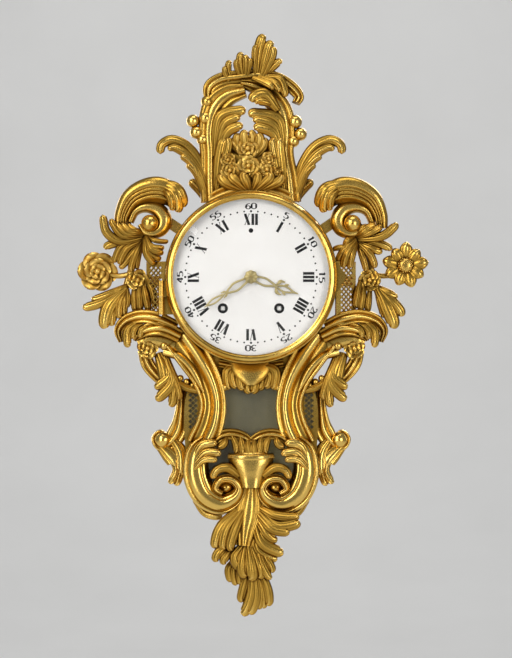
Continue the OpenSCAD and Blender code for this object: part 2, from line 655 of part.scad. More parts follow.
branch_crest_rows = [[-49, 201, 48, 4], [-47, 216, 48, 7.5], [-34, 225, 48, 8], [-14, 228, 48, 8],
    [8, 230, 48, 8],
    [28, 227, 49, 7], [45, 217, 50, 7], [54, 206, 52, 6], [51, 198, 54, 4.5]];
branch_flutes = [[14, 229, 32, 225, 40, 206, 5], [4, 227, 20, 221, 30, 213, 5]];
plume_flutes = [[7, 229, 8, 252, 13, 275, 7], [13, 229, 19, 249, 24, 266, 7],
    [18, 231, 26, 240, 33, 246, 5],
    [-9, 227, -12, 242, -12, 254, 5.6], [-5, 228, -4, 240, -3, 249, 5], [-23, 224, -27, 234, -26, 244, 5]];

module crest_branch_form(g = 0) {
    scroll(branch_crest_rows, 6, g, 11, stem_form);
    fan(branch_flutes, [50, 53, 54], 4, g);
    fan(plume_flutes, [48, 51, 52], 4.2, g);
}

module left_pilaster() {
    color(gilt) cast() difference() {
        pilaster_form();
        case_space();
    }
}

module right_pilaster() {
    mirror([1, 0, 0]) left_pilaster();
}

module left_lower_scroll() {
    color(gilt) cast() difference() {
        lower_scroll_form();
        case_space();
        pilaster_form(seat);
    }
}

module right_lower_scroll() {
    mirror([1, 0, 0]) left_lower_scroll();
}

module left_waist_leaf() {
    color(gilt) cast() difference() {
        waist_leaf_form();
        case_space();
        pilaster_form(seat);
        shoulder_form(seat);
    }
}

module right_waist_leaf() {
    mirror([1, 0, 0]) left_waist_leaf();
}

module left_side_volute() {
    color(gilt) cast() difference() {
        side_volute_form();
        case_space();
        pilaster_form(seat);
        waist_leaf_form(seat);
        lower_scroll_form(seat);
    }
}

module right_side_volute() {
    mirror([1, 0, 0]) left_side_volute();
}

module left_shoulder_leaf() {
    color(gilt) cast() difference() {
        shoulder_form();
        case_space();
        fret_space();
        pilaster_form(seat);
    }
}

module right_shoulder_leaf() {
    mirror([1, 0, 0]) left_shoulder_leaf();
}

module left_wing_scroll() {
    color(gilt) cast() difference() {
        wing_scroll_form();
        case_space();
    }
}

module right_wing_scroll() {
    mirror([1, 0, 0]) left_wing_scroll();
}

module left_wing_leaves() {
    color(gilt) cast() difference() {
        left_wing_leaves_form();
        case_space();
        fret_space();
        wing_scroll_form(seat);
        shoulder_form(seat);
        rose_form(seat);
    }
}

module right_wing_leaves() {
    color(gilt) mirror([1, 0, 0]) cast() difference() {
        right_wing_leaves_form();
        case_space();
        fret_space();
        wing_scroll_form(seat);
        shoulder_form(seat);
        sunflower_form(seat);
    }
}

module rose_spray() {
    color(gilt) cast() difference() {
        rose_form();
        case_space();
    }
}

module sunflower_spray() {
    color(gilt) mirror([1, 0, 0]) cast() difference() {
        sunflower_form();
        case_space();
    }
}

// Pierced panel beside the drum, leaning back from the bezel to the flowers
fret_w = 26;
fret_h = 62;
fret_t = 2.5;
fret_lean = 30;

module fret_place() {
    translate([-drum_r + 1, -13, 72 * drum_depth / drawn_depth]) rotate([0, -fret_lean, 0])
        translate([-fret_w, -fret_h / 2, -fret_t]) children();
}

// Room for the panel, which the leaves beside it leave free
module fret_space(g = seat) {
    fret_place() translate([-g, -g, -g]) cube([fret_w + 2 * g, fret_h + 2 * g, fret_t + 2 * g]);
}

module left_side_fret() {
    color(gilt) difference() {
        fret_place() linear_extrude(fret_t) difference() {
            square([fret_w, fret_h]);
            translate([fret_w / 2 - 1, fret_h / 2]) diaper(fret_w - 6, fret_h - 4, 6, 2.3);
        }
        cylinder(r = drum_r + seat, h = 100, $fn = 96);
    }
}

module right_side_fret() {
    mirror([1, 0, 0]) left_side_fret();
}

// Castings above and below the case

module crest_left_arm() {
    color(gilt) cast() difference() {
        left_arm_form();
        case_space();
        right_arm_form(seat);
    }
}

module crest_right_arm() {
    color(gilt) cast() difference() {
        right_arm_form();
        case_space();
    }
}

module crest_bouquet() {
    color(gilt) cast() difference() {
        bouquet_form();
        case_space();
        left_arm_form(seat);
        right_arm_form(seat);
    }
}

module crest_branch() {
    color(gilt) cast() difference() {
        crest_branch_form();
        left_arm_form(seat);
        right_arm_form(seat);
    }
}

module window_shell() {
    color(gilt) cast() difference() {
        window_shell_form();
        case_space();
        both() pilaster_form(seat);
    }
}

module lower_arch() {
    color(gilt) cast() difference() {
        lower_arch_form();
        case_space();
        both() pilaster_form(seat);
        both() lower_scroll_form(seat);
    }
}

module lower_vase() {
    color(gilt) cast() difference() {
        lower_vase_form();
        case_space();
        both() lower_scroll_form(seat);
        lower_arch_form(seat);
    }
}

module bottom_spray() {
    color(gilt) cast() difference() {
        bottom_spray_form();
        case_space();
        both() lower_scroll_form(seat);
        lower_vase_form(seat);
    }
}

module tail_leaf() {
    color(gilt) cast() difference() {
        tail_form();
        bottom_spray_form(seat);
        lower_vase_form(seat);
    }
}

// Bezel: a moulded ring with a hinge knuckle on the left and a thumb-piece on the right

bezel_z = drum_depth + 0.3;
glass_z = bezel_z + bezel_h - 6;

module bezel_section() {
    polygon([[bezel_in + 3.2, 0], [bezel_r, 0], [bezel_r, 3], [bezel_r - 1.2, 4.2], [bezel_r - 1.2, 5.6],
        [bezel_r - 1.8, 7.6], [bezel_r - 3.2, bezel_h - 1.6], [bezel_r - 4.6, bezel_h - 0.3],
        [bezel_in + 4, bezel_h], [bezel_in + 2.4, bezel_h - 0.6], [bezel_in + 1.4, bezel_h - 2],
        [bezel_in + 1.2, bezel_h - 3.4], [bezel_in, bezel_h - 4], [bezel_in, bezel_h - 6],
        [bezel_in + 3.2, bezel_h - 6]]);
}

module bezel() {
    color(gilt) difference() {
        union() {
            translate([0, 0, bezel_z]) rotate_extrude($fn = 96) bezel_section();
            translate([hinge_x, hinge_split + knuckle_gap / 2, hinge_z]) rotate([-90, 0, 0])
                cylinder(r = knuckle_r, h = hinge_top - hinge_split - knuckle_gap / 2);
            translate([hinge_x, hinge_split + knuckle_gap / 2, bezel_z + 0.2])
                cube([knuckle_r + 6, hinge_top - hinge_split - knuckle_gap / 2, 4]);
            translate([0, 0, bezel_z + 0.5]) linear_extrude(4) thumb_piece();
        }
        translate([hinge_x, hinge_low - 1, hinge_z]) rotate([-90, 0, 0])
            cylinder(r = hinge_pin_r + run, h = 80);
    }
}

module thumb_piece() {
    polygon([[bezel_r - 3, 17], [bezel_r + 0.6, 16], [bezel_r + 3, 12], [bezel_r + 4, 8],
        [bezel_r + 7.4, 5],
        [bezel_r + 8.8, 0], [bezel_r + 7.4, -5], [bezel_r + 4, -8], [bezel_r + 3, -12],
            [bezel_r + 0.6, -16],
        [bezel_r - 3, -17]]);
}

// Section of a domed sheet: rise at the axis, sinking to nothing at radius r
function dome(r, rise, n = 10) = [for (k = [0:n]) [r * k / n, rise * (1 - pow(k / n, 2))]];

module bezel_glass() {
    far = bezel_in - 0.4;
    color(clear_glass) translate([0, 0, glass_z]) rotate_extrude($fn = 96)
        polygon(concat(dome(far, glass_rise), [[bezel_in + 3, 0], [bezel_in + 3, -glass_t]],
            [for (q = [for (k = [10:-1:0]) dome(far - 0.8, glass_rise)[k]]) [q[0], q[1] - glass_t]]));
}

module hinge_pin() {
    color(steel) translate([hinge_x, hinge_low - 1.5, hinge_z]) rotate([-90, 0, 0]) {
        cylinder(r = hinge_pin_r, h = hinge_top - hinge_low + 3.4);
        cylinder(r = hinge_pin_r + 0.9, h = 1.5);
        translate([0, 0, hinge_top - hinge_low + 1.9]) cylinder(r = hinge_pin_r + 0.9, h = 1.5);
    }
}

// Dial: domed enamel on copper, with three feet that stand on the front plate

pipe_r = 2.4;
hour_pipe_r = 3.6;
foot_turns = [60, 180, 300];

module dial() {
    color(enamel) {
        difference() {
            translate([0, 0, dial_z]) rotate_extrude($fn = 96)
                polygon(concat([for (q = dome(dial_r, dial_rise)) [q[0], q[1] + dial_t]],
                    [for (k = [10:-1:0]) dome(dial_r, dial_rise)[k]]));
            translate([0, 0, front_z]) cylinder(r = hour_pipe_r + 0.4, h = 30);
            for (p = [going, striking]) translate([p[0], p[1], front_z]) cylinder(r = winding_hole_r,
                h = 30);
            translate([0, 52, front_z]) cylinder(r = 2, h = 30);
        }
        for (a = foot_turns) rotate(a) translate([62, 0, front_z])
            cylinder(r = 2, h = dial_z - front_z + dial_rise * (1 - pow(64 / dial_r, 2)));
    }
}

// Hands, drawn pointing up and turned to the time; half outlines are [x, share of the length]
hour_z = dial_z + dial_t + dial_rise + 0.8;
minute_z = hour_z + hand_t + 1.2;
minute_turn = -6 * (shown_minutes % 60);
hour_turn = -shown_minutes / 2;

hour_half = [[3, 0.1], [2, 0.17], [4.6, 0.28], [5.6, 0.38], [3, 0.48], [1.5, 0.54], [3.4, 0.58],
    [7.2, 0.62],
    [7.6, 0.67], [4.4, 0.71], [3.6, 0.76], [2, 0.82]];
hour_eye = [[0, 0.2], [2.6, 0.3], [3.4, 0.38], [1.6, 0.46]];
minute_half = [[2.8, 0.1], [1.8, 0.16], [3.4, 0.24], [4.6, 0.33], [3.6, 0.41], [1.4, 0.48], [1.3, 0.52],
    [3.2, 0.57],
    [3.4, 0.62], [1.4, 0.69], [0.9, 0.8]];
minute_eye = [[0, 0.19], [1.8, 0.26], [2.8, 0.33], [1.6, 0.4]];

function loop(half, length, tip) =
    concat([for (q = half) [q[0], q[1] * length]], [[0, tip]],
        [for (k = [len(half) - 1:-1:0]) [-half[k][0], half[k][1] * length]]);

module hand(half, eye, length, bore) {
    linear_extrude(hand_t) difference() {
        union() {
            circle(bore + 3.2);
            polygon(loop(half, length, length));
        }
        circle(bore);
        polygon(loop(eye, length, eye[len(eye) - 1][1] * length + 2));
    }
}

module hour_hand() {
    color(gilt) translate([0, 0, hour_z]) rotate(hour_turn) hand(hour_half, hour_eye, hour_len,
        hour_pipe_r);
}

module minute_hand() {
    color(gilt) {
        translate([0, 0, minute_z]) rotate(minute_turn) hand(minute_half, minute_eye, minute_len, pipe_r);
        translate([0, 0, minute_z + hand_t]) difference() {
            cylinder(r1 = 7, r2 = 3.2, h = 2.4);
            translate([0, 0, -1]) cylinder(r = arbor_r + run, h = 5);
        }
    }
}

// Wheels and pinions

function teeth(n, m, form) = [for (i = [0:n - 1])
    each [polar((i - form[2]) * 360 / n, n * m / 2 - form[1] * m), polar((i - form[3]) * 360 / n, n *
        m / 2),
        polar((i - form[4]) * 360 / n, n * m / 2 + form[0] * m), polar((i + form[4]) * 360 / n, n *
            m / 2 + form[0] * m),
        polar((i + form[3]) * 360 / n, n * m / 2), polar((i + form[2]) * 360 / n, n * m / 2 - form[1] *
            m)]];

// A crossed-out wheel with one tooth on the heading given
module wheel(n, m, face, t = wheel_t, spokes = 4) {
    rim = n * m / 2 - 1.25 * m - 1.6;
    linear_extrude(t) difference() {
        rotate(face) polygon(teeth(n, m, wheel_form));
        if (spokes > 0) difference() {
            circle(rim);
            circle(rim * 0.28 + 1);
            for (k = [0:spokes - 1]) rotate(k * 360 / spokes) translate([0, -1.1]) square([rim, 2.2]);
        }
    }
}

// A pinion with a gap on the heading given
module pinion(n, m, face, t) {
    linear_extrude(t) rotate(face + 180 / n) polygon(teeth(n, m, pinion_form));
}

pivot_r = 0.8;
end_play = 0.3;

module staff(p, low = rear_z, high = front_z) {
    translate([p[0], p[1], inner_rear + end_play]) cylinder(r = arbor_r, h = plate_gap - 2 * end_play);
    translate([p[0], p[1], low]) cylinder(r = pivot_r, h = high - low);
}

module on(p, z) {
    translate([p[0], p[1], z]) children();
}

module barrel(p, mate) {
    color(brass) difference() {
        union() {
            on(p, great_z) wheel(great_teeth, great_m, heading(p, mate), 2.5, 0);
            on(p, barrel_low) cylinder(r = barrel_r, h = great_z - barrel_low, $fn = 72);
        }
        on(p, barrel_low + 2) cylinder(r = barrel_r - 1.8, h = great_z - barrel_low - 2, $fn = 72);
        on(p, barrel_low - 1) cylinder(r = 3 + run, h = 60);
    }
}

module winding_arbor(p) {
    color(steel) {
        on(p, inner_rear + end_play) cylinder(r = 3, h = front_z + 3 - inner_rear - end_play);
        on(p, rear_z) cylinder(r = 2, h = plate_t + 1);
        on(p, front_z + 0.6) linear_extrude(1.8) ratchet();
        translate([p[0] - 2.1, p[1] - 2.1, front_z + 2]) cube([4.2, 4.2, dial_z + dial_t +
            1 - front_z - 2]);
    }
}

module ratchet(n = 24, r = 9) {
    polygon([for (i = [0:n - 1]) each [polar(i * 360 / n, r), polar(i * 360 / n + 2, r - 1.4)]]);
}

module going_barrel() {
    barrel(going, second);
}

module going_arbor() {
    winding_arbor(going);
}

module strike_barrel() {
    barrel(striking, count);
}

module strike_arbor() {
    winding_arbor(striking);
}

module second_wheel() {
    color(brass) {
        staff(second);
        on(second, great_z - 1) pinion(second_leaves, great_m, heading(second, going), 4.2);
        on(second, rear_wheel_z) wheel(second_teeth, second_m, heading(second, centre));
    }
}

module centre_wheel() {
    color(brass) {
        on(centre, inner_rear + end_play) cylinder(r = arbor_r, h = minute_z + hand_t +
            3.4 - inner_rear - end_play);
        on(centre, rear_z) cylinder(r = pivot_r, h = 6);
        on(centre, rear_wheel_z - 1) pinion(centre_leaves, second_m, heading(centre, second), 4);
        on(centre, centre_wheel_z) wheel(centre_teeth, centre_m, heading(centre, third));
    }
}

module third_wheel() {
    color(brass) {
        staff(third);
        on(third, centre_wheel_z - 1) pinion(third_leaves, centre_m, heading(third, centre), 3.4);
        on(third, third_wheel_z) wheel(third_teeth, third_m, heading(third, escape));
    }
}

module escape_wheel() {
    color(brass) {
        staff(escape);
        on(escape, third_wheel_z - 1.5) pinion(escape_leaves, third_m, heading(escape, third), 4.5);
        on(escape, escape_wheel_z) linear_extrude(wheel_t) difference() {
            polygon([for (i = [0:escape_teeth - 1]) each [polar((i + 0.05) * 360 / escape_teeth, escape_r),
                polar((i + 0.18) * 360 / escape_teeth, escape_r),
                polar((i + 0.55) * 360 / escape_teeth, escape_r - 2), polar((i + 0.9) *
                    360 / escape_teeth, escape_r - 2)]]);
            difference() {
                circle(7.4);
                circle(2.8);
                for (k = [0:3]) rotate(k * 90) translate([0, -0.9]) square([8, 1.8]);
            }
        }
    }
}

// Anchor, its arbor and the crutch that reaches back to the pendulum rod
pallet_clear = 1.05;
rod_r = 1.5;
crutch_z = rear_z - back_room / 7;
crutch_drop = 42;

module pallets() {
    tip = polar(45, escape_r + pallet_clear);
    color(steel) {
        on(pallet, crutch_z - 0.7) cylinder(r = arbor_r, h = inner_front - end_play - crutch_z + 0.7);
        on(pallet, crutch_z - 2.1) cylinder(r = pivot_r, h = front_z - crutch_z + 2.1);
        on(pallet, escape_wheel_z - 0.5) linear_extrude(2.5)
            polygon([[-2.6, 2.6], [2.6, 2.6], [6, -2], [tip[0] + 3.4, tip[1] - 22 + 3.6],
                [tip[0] + 1.6, tip[1] - 22 + 1],
                [tip[0] + 0.4, tip[1] - 22 + 0.4], [5, -7], [0, -5.6], [-5, -7],
                    [-tip[0] - 0.4, tip[1] - 22 + 0.4],
                [-tip[0] - 1.6, tip[1] - 22 + 1], [-tip[0] - 3.4, tip[1] - 22 + 3.6], [-6, -2]]);
        on(pallet, crutch_z) linear_extrude(1.5)
            polygon([[-2.6, 2.6], [2.6, 2.6], [1.4, -6], [1.4, -crutch_drop + 5], [4, -crutch_drop + 4],
                [4, -crutch_drop], [-4, -crutch_drop], [-4, -crutch_drop + 4], [-1.4, -crutch_drop + 5],
                    [-1.4, -6]]);
        for (s = [-1, 1]) translate([s * (rod_r + 1.3) - 0.9, pallet[1] - crutch_drop,
            crutch_z - back_room / 4])
            cube([1.8, 3, back_room / 4 + 0.5]);
    }
}

// Bridge behind the rear plate that carries the pallets and the pendulum
cock_z = rear_z - back_room * 5 / 21;

module back_cock() {
    color(brass) difference() {
        union() {
            for (s = [-1, 1]) on([s * 14, pallet[1] + 2], cock_z + 1) cylinder(r = 2.6,
                h = rear_z - cock_z - 1);
            translate([-18, pallet[1] - 6, cock_z]) cube([36, 14, 2]);
            on(pallet, cock_z - 5.8) cylinder(r = 1, h = 6.8);
            on(pallet, cock_z - 6.8) cylinder(r = 2, h = 1);
        }
        on(pallet, cock_z + 0.8) cylinder(r = pivot_r + run, h = 2);
    }
}

module pendulum() {
    low = pallet[1] - pendulum_len;
    color(brass) {
        difference() {
            union() {
                on(pallet, rod_z - 2.8) cylinder(r = 3, h = 3.6);
                translate([0, low - bob_r - 5, rod_z - 1]) rotate([-90, 0, 0])
                    cylinder(r = rod_r, h = pendulum_len + bob_r + 3.5);
                on([0, low], rod_z - 1) rotate_extrude() polygon([[0, -5], [bob_r * 0.3, -5],
                    [bob_r * 0.9, -2.6],
                    [bob_r, -1], [bob_r, 1], [bob_r * 0.9, 2.6], [bob_r * 0.3, 5], [0, 5]]);
                translate([0, low - bob_r - 4, rod_z - 1]) rotate([-90, 0, 0]) cylinder(r = 3.2, h = 2.6,
                    $fn = 12);
            }
            on(pallet, rod_z - 10) cylinder(r = 1 + run, h = 20);
        }
    }
}

module cannon_pinion() {
    color(steel) difference() {
        union() {
            on(centre, front_z + 0.5) pinion(cannon_leaves, minute_m, heading(centre, minute_arbor), 3);
            on(centre, front_z + 0.5) cylinder(r = pipe_r, h = minute_z + hand_t - front_z - 0.5);
        }
        on(centre, front_z) cylinder(r = arbor_r + run, h = 40);
    }
}

module minute_wheel() {
    color(brass) difference() {
        union() {
            on(minute_arbor, front_z + 1) wheel(minute_teeth, minute_m, heading(minute_arbor, centre),
                1.2, 0);
            on(minute_arbor, front_z + 1) pinion(minute_leaves, hour_m, heading(minute_arbor, centre), 4.6);
        }
        on(minute_arbor, front_z) cylinder(r = 1 + run, h = 10);
    }
}

module hour_wheel() {
    color(brass) difference() {
        union() {
            on(centre, front_z + 4) wheel(hour_teeth, hour_m, heading(centre, minute_arbor), 1.2, 0);
            on(centre, front_z + 4) cylinder(r = hour_pipe_r, h = hour_z + hand_t - front_z - 4);
        }
        on(centre, front_z) cylinder(r = pipe_r + run, h = 40);
    }
}

// Striking train

module count_wheel() {
    color(brass) {
        on(count, rear_z - 4) cylinder(r = arbor_r, h = inner_front - end_play - rear_z + 4);
        on(count, inner_front - 1) cylinder(r = pivot_r, h = plate_t + 1);
        on(count, great_z - 1) pinion(second_leaves, great_m, heading(count, striking), 4.2);
        on(count, rear_wheel_z) wheel(count_teeth, count_m, heading(count, pin_arbor));
        on(count, rear_z - 3.5) linear_extrude(1.5) difference() {
            circle(18);
            for (h = [1:12]) rotate(-h * (h + 3) / 180 * 360) translate([15.4, -0.8]) square([4, 1.6]);
        }
    }
}

module pin_wheel() {
    color(brass) {
        staff(pin_arbor);
        on(pin_arbor, rear_wheel_z - 1) pinion(pin_leaves, count_m, heading(pin_arbor, count), 4);
        on(pin_arbor, pin_wheel_z) wheel(pin_teeth, pin_m, heading(pin_arbor, lock_arbor));
        for (k = [0:blow_pins - 1]) on(pin_arbor + polar(k * 360 / blow_pins, 13.1), pin_wheel_z + 1)
            cylinder(r = 0.7, h = 5, $fn = 16);
    }
}

module locking_wheel() {
    color(brass) {
        staff(lock_arbor);
        on(lock_arbor, pin_wheel_z - 1) pinion(lock_leaves, pin_m, heading(lock_arbor, pin_arbor), 3.5);
        on(lock_arbor, lock_wheel_z) wheel(lock_teeth, lock_m, heading(lock_arbor, fly_arbor), 1.2);
    }
}

module fly() {
    color(brass) {
        staff(fly_arbor);
        on(fly_arbor, lock_wheel_z - 1) pinion(fly_leaves, lock_m, heading(fly_arbor, lock_arbor), 3.2);
        translate([fly_arbor[0] - 9, fly_arbor[1] - 0.4, inner_rear + 4]) cube([18, 0.8, 14]);
    }
}

// Hammer: tail beside the pins, and an arm behind the rear plate that reaches over the bell
hammer_z = back_t + back_room * 0.3;
hammer_head = bell_at + polar(110, bell_r + 4 + 1.6);

module hammer() {
    arm = norm(hammer_head - hammer_arbor);
    color(steel) {
        on(hammer_arbor, hammer_z - 1) cylinder(r = arbor_r, h = inner_front - end_play - hammer_z + 1);
        on(hammer_arbor, inner_front - 1) cylinder(r = pivot_r, h = plate_t + 1);
        on(hammer_arbor, pin_wheel_z + 2.6) rotate(heading(hammer_arbor, pin_arbor)) translate([-0.7,
            -1.5, 0])
            cube([12.1, 3, 2]);
        on(hammer_arbor, pin_wheel_z + 2.3) cylinder(r = 3, h = 2.6);
        on(hammer_arbor, hammer_z) rotate(heading(hammer_arbor, hammer_head)) translate([-0.7, -1.6, 0])
            cube([arm + 0.4, 3.2, 3]);
        on(hammer_arbor, hammer_z - 0.4) cylinder(r = 3.4, h = 3.8);
        on(hammer_head, hammer_z - 3) cylinder(r = 4, h = 9);
    }
}

bell_low = back_t + back_room / 7;
bell_h = back_room * 4 / 9;

module bell() {
    color(bronze) on(bell_at, 0) {
        translate([0, 0, bell_low]) rotate_extrude($fn = 72)
            polygon([[0, 0], [0.5 * bell_r, 0.03 * bell_h], [0.75 * bell_r, 0.21 * bell_h],
                [0.89 * bell_r, 0.54 * bell_h], [bell_r, bell_h], [bell_r - 2, bell_h],
                    [0.83 * bell_r, 0.6 * bell_h],
                [0.71 * bell_r, 0.34 * bell_h], [0.49 * bell_r, 0.17 * bell_h], [0, 0.14 * bell_h]]);
        translate([0, 0, bell_low + 0.1 * bell_h]) cylinder(r = 3, h = rear_z - bell_low - 0.1 * bell_h);
        translate([0, 0, bell_low - 2.4]) cylinder(r = 3.4, h = 2.9);
    }
}

// Frame of the movement

strap_turns = [30, 150, 270];
shelf_in = plate_r + 4;
shelf_w = drum_r - case_wall - shelf_in;
strap_in = plate_r - 4;
strap_out = shelf_in + shelf_w * 5 / 12;
strap_end = strap_out + shelf_w / 3;
screw_r = shelf_w / 8;

module strap_screws(z, h, r = screw_r, at_plate = true, at_case = true) {
    for (a = strap_turns) rotate(a) {
        if (at_plate) translate([strap_in, 0, z]) cylinder(r = r, h = h);
        if (at_case) translate([strap_out, 0, z]) cylinder(r = r, h = h);
    }
}

module front_plate() {
    color(brass) {
        difference() {
            on(centre, inner_front) cylinder(r = plate_r, h = plate_t, $fn = 96);
            for (p = [second, third, escape, pallet, count, pin_arbor, lock_arbor, fly_arbor, hammer_arbor])
                on(p, inner_front - 1) cylinder(r = pivot_r + run, h = plate_t + 2);
            on(centre, inner_front - 1) cylinder(r = arbor_r + run, h = plate_t + 2);
            for (p = [going, striking]) on(p, inner_front - 1) cylinder(r = 3 + run, h = plate_t + 2);
            strap_screws(inner_front - 1, plate_t + 2, screw_r, true, false);
        }
        on(minute_arbor, front_z - 1) cylinder(r = 1, h = 7);
    }
}

module rear_plate() {
    color(brass) difference() {
        on(centre, rear_z) cylinder(r = plate_r, h = plate_t, $fn = 96);
        for (p = [centre, second, third, escape, pin_arbor, lock_arbor, fly_arbor])
            on(p, rear_z - 1) cylinder(r = pivot_r + run, h = plate_t + 2);
        for (p = [count, hammer_arbor]) on(p, rear_z - 1) cylinder(r = arbor_r + run, h = plate_t + 2);
        on(pallet, rear_z - 1) cylinder(r = 3, h = plate_t + 2);
        for (p = [going, striking]) on(p, rear_z - 1) cylinder(r = 2 + run, h = plate_t + 2);
    }
}

module pillars() {
    color(brass) for (p = pillar_at) on(p, inner_rear) {
        cylinder(r = pillar_r, h = plate_gap);
        cylinder(r = pillar_r + 1.2, h = 3);
        translate([0, 0, plate_gap - 3]) cylinder(r = pillar_r + 1.2, h = 3);
        translate([0, 0, plate_gap / 2 - 2]) cylinder(r = pillar_r + 0.8, h = 4);
    }
}

module movement_straps() {
    color(brass) {
        for (a = strap_turns) rotate(a) translate([strap_in - 4, -5, front_z])
            cube([strap_end - strap_in + 4, 10, 2]);
        strap_screws(front_z - 3, 5);
        strap_screws(front_z + 1.5, 2, screw_r * 1.8);
    }
}

hung() case_body();
hung() back_plate();
hung() window_pane();
hung() left_pilaster();
hung() right_pilaster();
hung() left_lower_scroll();
hung() right_lower_scroll();
hung() left_side_volute();
hung() right_side_volute();
hung() left_waist_leaf();
hung() right_waist_leaf();
hung() left_shoulder_leaf();
hung() right_shoulder_leaf();
hung() left_wing_scroll();
hung() right_wing_scroll();
hung() left_wing_leaves();
hung() right_wing_leaves();
hung() rose_spray();
hung() sunflower_spray();
hung() left_side_fret();
hung() right_side_fret();
hung() crest_left_arm();
hung() crest_right_arm();
hung() crest_bouquet();
hung() crest_branch();
hung() window_shell();
hung() lower_arch();
hung() lower_vase();
hung() bottom_spray();
hung() tail_leaf();
hung() bezel();
hung() bezel_glass();
hung() hinge_pin();
hung() dial();
hung() hour_hand();
hung() minute_hand();
hung() cannon_pinion();
hung() minute_wheel();
hung() hour_wheel();
hung() front_plate();
hung() rear_plate();
hung() pillars();
hung() movement_straps();
hung() going_barrel();
hung() going_arbor();
hung() second_wheel();
hung() centre_wheel();
hung() third_wheel();
hung() escape_wheel();
hung() pallets();
hung() back_cock();
hung() pendulum();
hung() strike_barrel();
hung() strike_arbor();
hung() count_wheel();
hung() pin_wheel();
hung() locking_wheel();
hung() fly();
hung() hammer();
hung() bell();
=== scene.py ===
"""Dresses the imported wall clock: chased castings, enamel dial, hands, materials, light and camera.

Shapes are worked out in millimetres in the wall's frame (x right, y up, z out of the wall, dial axis at 0, 0)
and turned into the row frame in metres as each piece is made.
"""

import math

import bpy
import numpy as np
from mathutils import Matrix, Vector


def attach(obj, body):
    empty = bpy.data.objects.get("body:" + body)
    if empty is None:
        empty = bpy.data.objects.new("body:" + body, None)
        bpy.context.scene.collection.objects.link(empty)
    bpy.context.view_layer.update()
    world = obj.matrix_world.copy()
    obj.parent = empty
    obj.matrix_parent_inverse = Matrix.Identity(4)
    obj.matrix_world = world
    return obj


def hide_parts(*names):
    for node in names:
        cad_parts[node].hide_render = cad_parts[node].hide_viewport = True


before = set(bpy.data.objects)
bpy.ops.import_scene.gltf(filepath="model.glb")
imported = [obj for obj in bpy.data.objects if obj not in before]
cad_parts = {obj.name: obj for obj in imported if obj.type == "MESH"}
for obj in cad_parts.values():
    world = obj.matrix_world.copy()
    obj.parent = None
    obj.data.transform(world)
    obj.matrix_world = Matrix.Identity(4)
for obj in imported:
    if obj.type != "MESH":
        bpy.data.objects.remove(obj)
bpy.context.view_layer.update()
scene = bpy.context.scene

MM_PER_M = 1000

# Curves


def spline(rows, s):
    """Catmull-Rom curve through the rows, at shares s of the way along."""
    rows = np.asarray(rows, float)
    last = len(rows) - 1
    longer = np.vstack([2 * rows[0] - rows[1], rows, 2 * rows[-1] - rows[-2]])
    t = np.clip(s, 0, 1) * last
    i = np.minimum(t.astype(int), last - 1)
    f = (t - i)[..., None]
    a, b, c, d = (longer[i + k] for k in range(4))
    return 0.5 * (2 * b + (c - a) * f + (2 * a - 5 * b + 4 * c - d) * f**2 + (3 * b - 3 * c + d - a) * f**3)


def unit(v):
    """Vectors brought to length 1."""
    return v / np.maximum(np.linalg.norm(v, axis=-1, keepdims=True), 1e-9)


def moving_frame(rows, s):
    """Place, half width, side and outward direction on a curve of [x, y, z, half width] rows."""
    step = 0.006
    p = spline(rows, s)
    ahead = spline(rows, np.minimum(s + step, 1))[..., :3]
    along = unit(ahead - spline(rows, np.maximum(s - step, 0))[..., :3])
    side = unit(np.stack([-along[..., 1], along[..., 0], np.zeros_like(s)], -1))
    return p[..., :3], p[..., 3], side, np.cross(along, side)


def swept(p, side, out, section, wide, high):
    """Rings of a section carried along a curve, with its own half width and thickness at each place."""
    rings = p[:, None] + side[:, None] * (section[None, :, :1] * wide[:, None, None])
    return rings + out[:, None] * (section[None, :, 1:] * high[:, None, None])


def mirrored(rows):
    """The same curve on the other side of the clock."""
    return [[-q[0], *q[1:]] for q in rows]


def mirrored_flutes(fingers):
    """The flutes of a fan on the other side of the clock."""
    return [[-x0, y0, -x1, y1, -x2, y2, w] for x0, y0, x1, y1, x2, y2, w in fingers]


def symmetric(half):
    """A section given from one edge to its middle, with the other half added."""
    return half + [(-x, y) for x, y in half[-2::-1]]


# Sections of the moulded bands, from one edge (-1) to the other (1): shares of half width and of thickness
WING_FORM = [(-1, -1), (-1, 0), (-0.94, 0.34), (-0.82, 0.56), (-0.62, 0.72), (-0.44, 0.76), (-0.34, 0.7),
             (-0.28, 0.6), (-0.2, 0.68), (-0.1, 0.66), (-0.04, 0.56), (0.04, 0.66), (0.14, 0.62), (0.2, 0.5),
             (0.3, 0.62), (0.42, 0.6), (0.5, 0.4), (0.6, 0.16), (0.76, -0.1), (0.9, -0.3), (1, -0.5), (1, -1)]
PILASTER_FORM = [(-1, -1), (-1, 0.12), (-0.95, 0.48), (-0.86, 0.6), (-0.76, 0.5), (-0.68, 0.26),
                 (-0.54, 0.14), (-0.36, 0.14), (-0.2, 0.22), (-0.08, 0.42), (0.04, 0.7), (0.18, 0.92),
                 (0.32, 1), (0.46, 0.94), (0.58, 0.74), (0.66, 0.5), (0.72, 0.4), (0.8, 0.44), (0.9, 0.5),
                 (0.97, 0.38), (1, 0.1), (1, -1)]
LOWER_FORM = [(-1, -1), (-1, 0.1), (-0.94, 0.42), (-0.82, 0.56), (-0.72, 0.52), (-0.66, 0.44), (-0.58, 0.56),
              (-0.42, 0.74), (-0.22, 0.86), (0, 0.9), (0.22, 0.86), (0.36, 0.76), (0.42, 0.64), (0.5, 0.66),
              (0.66, 0.6), (0.82, 0.42), (0.94, 0.2), (1, 0), (1, -1)]
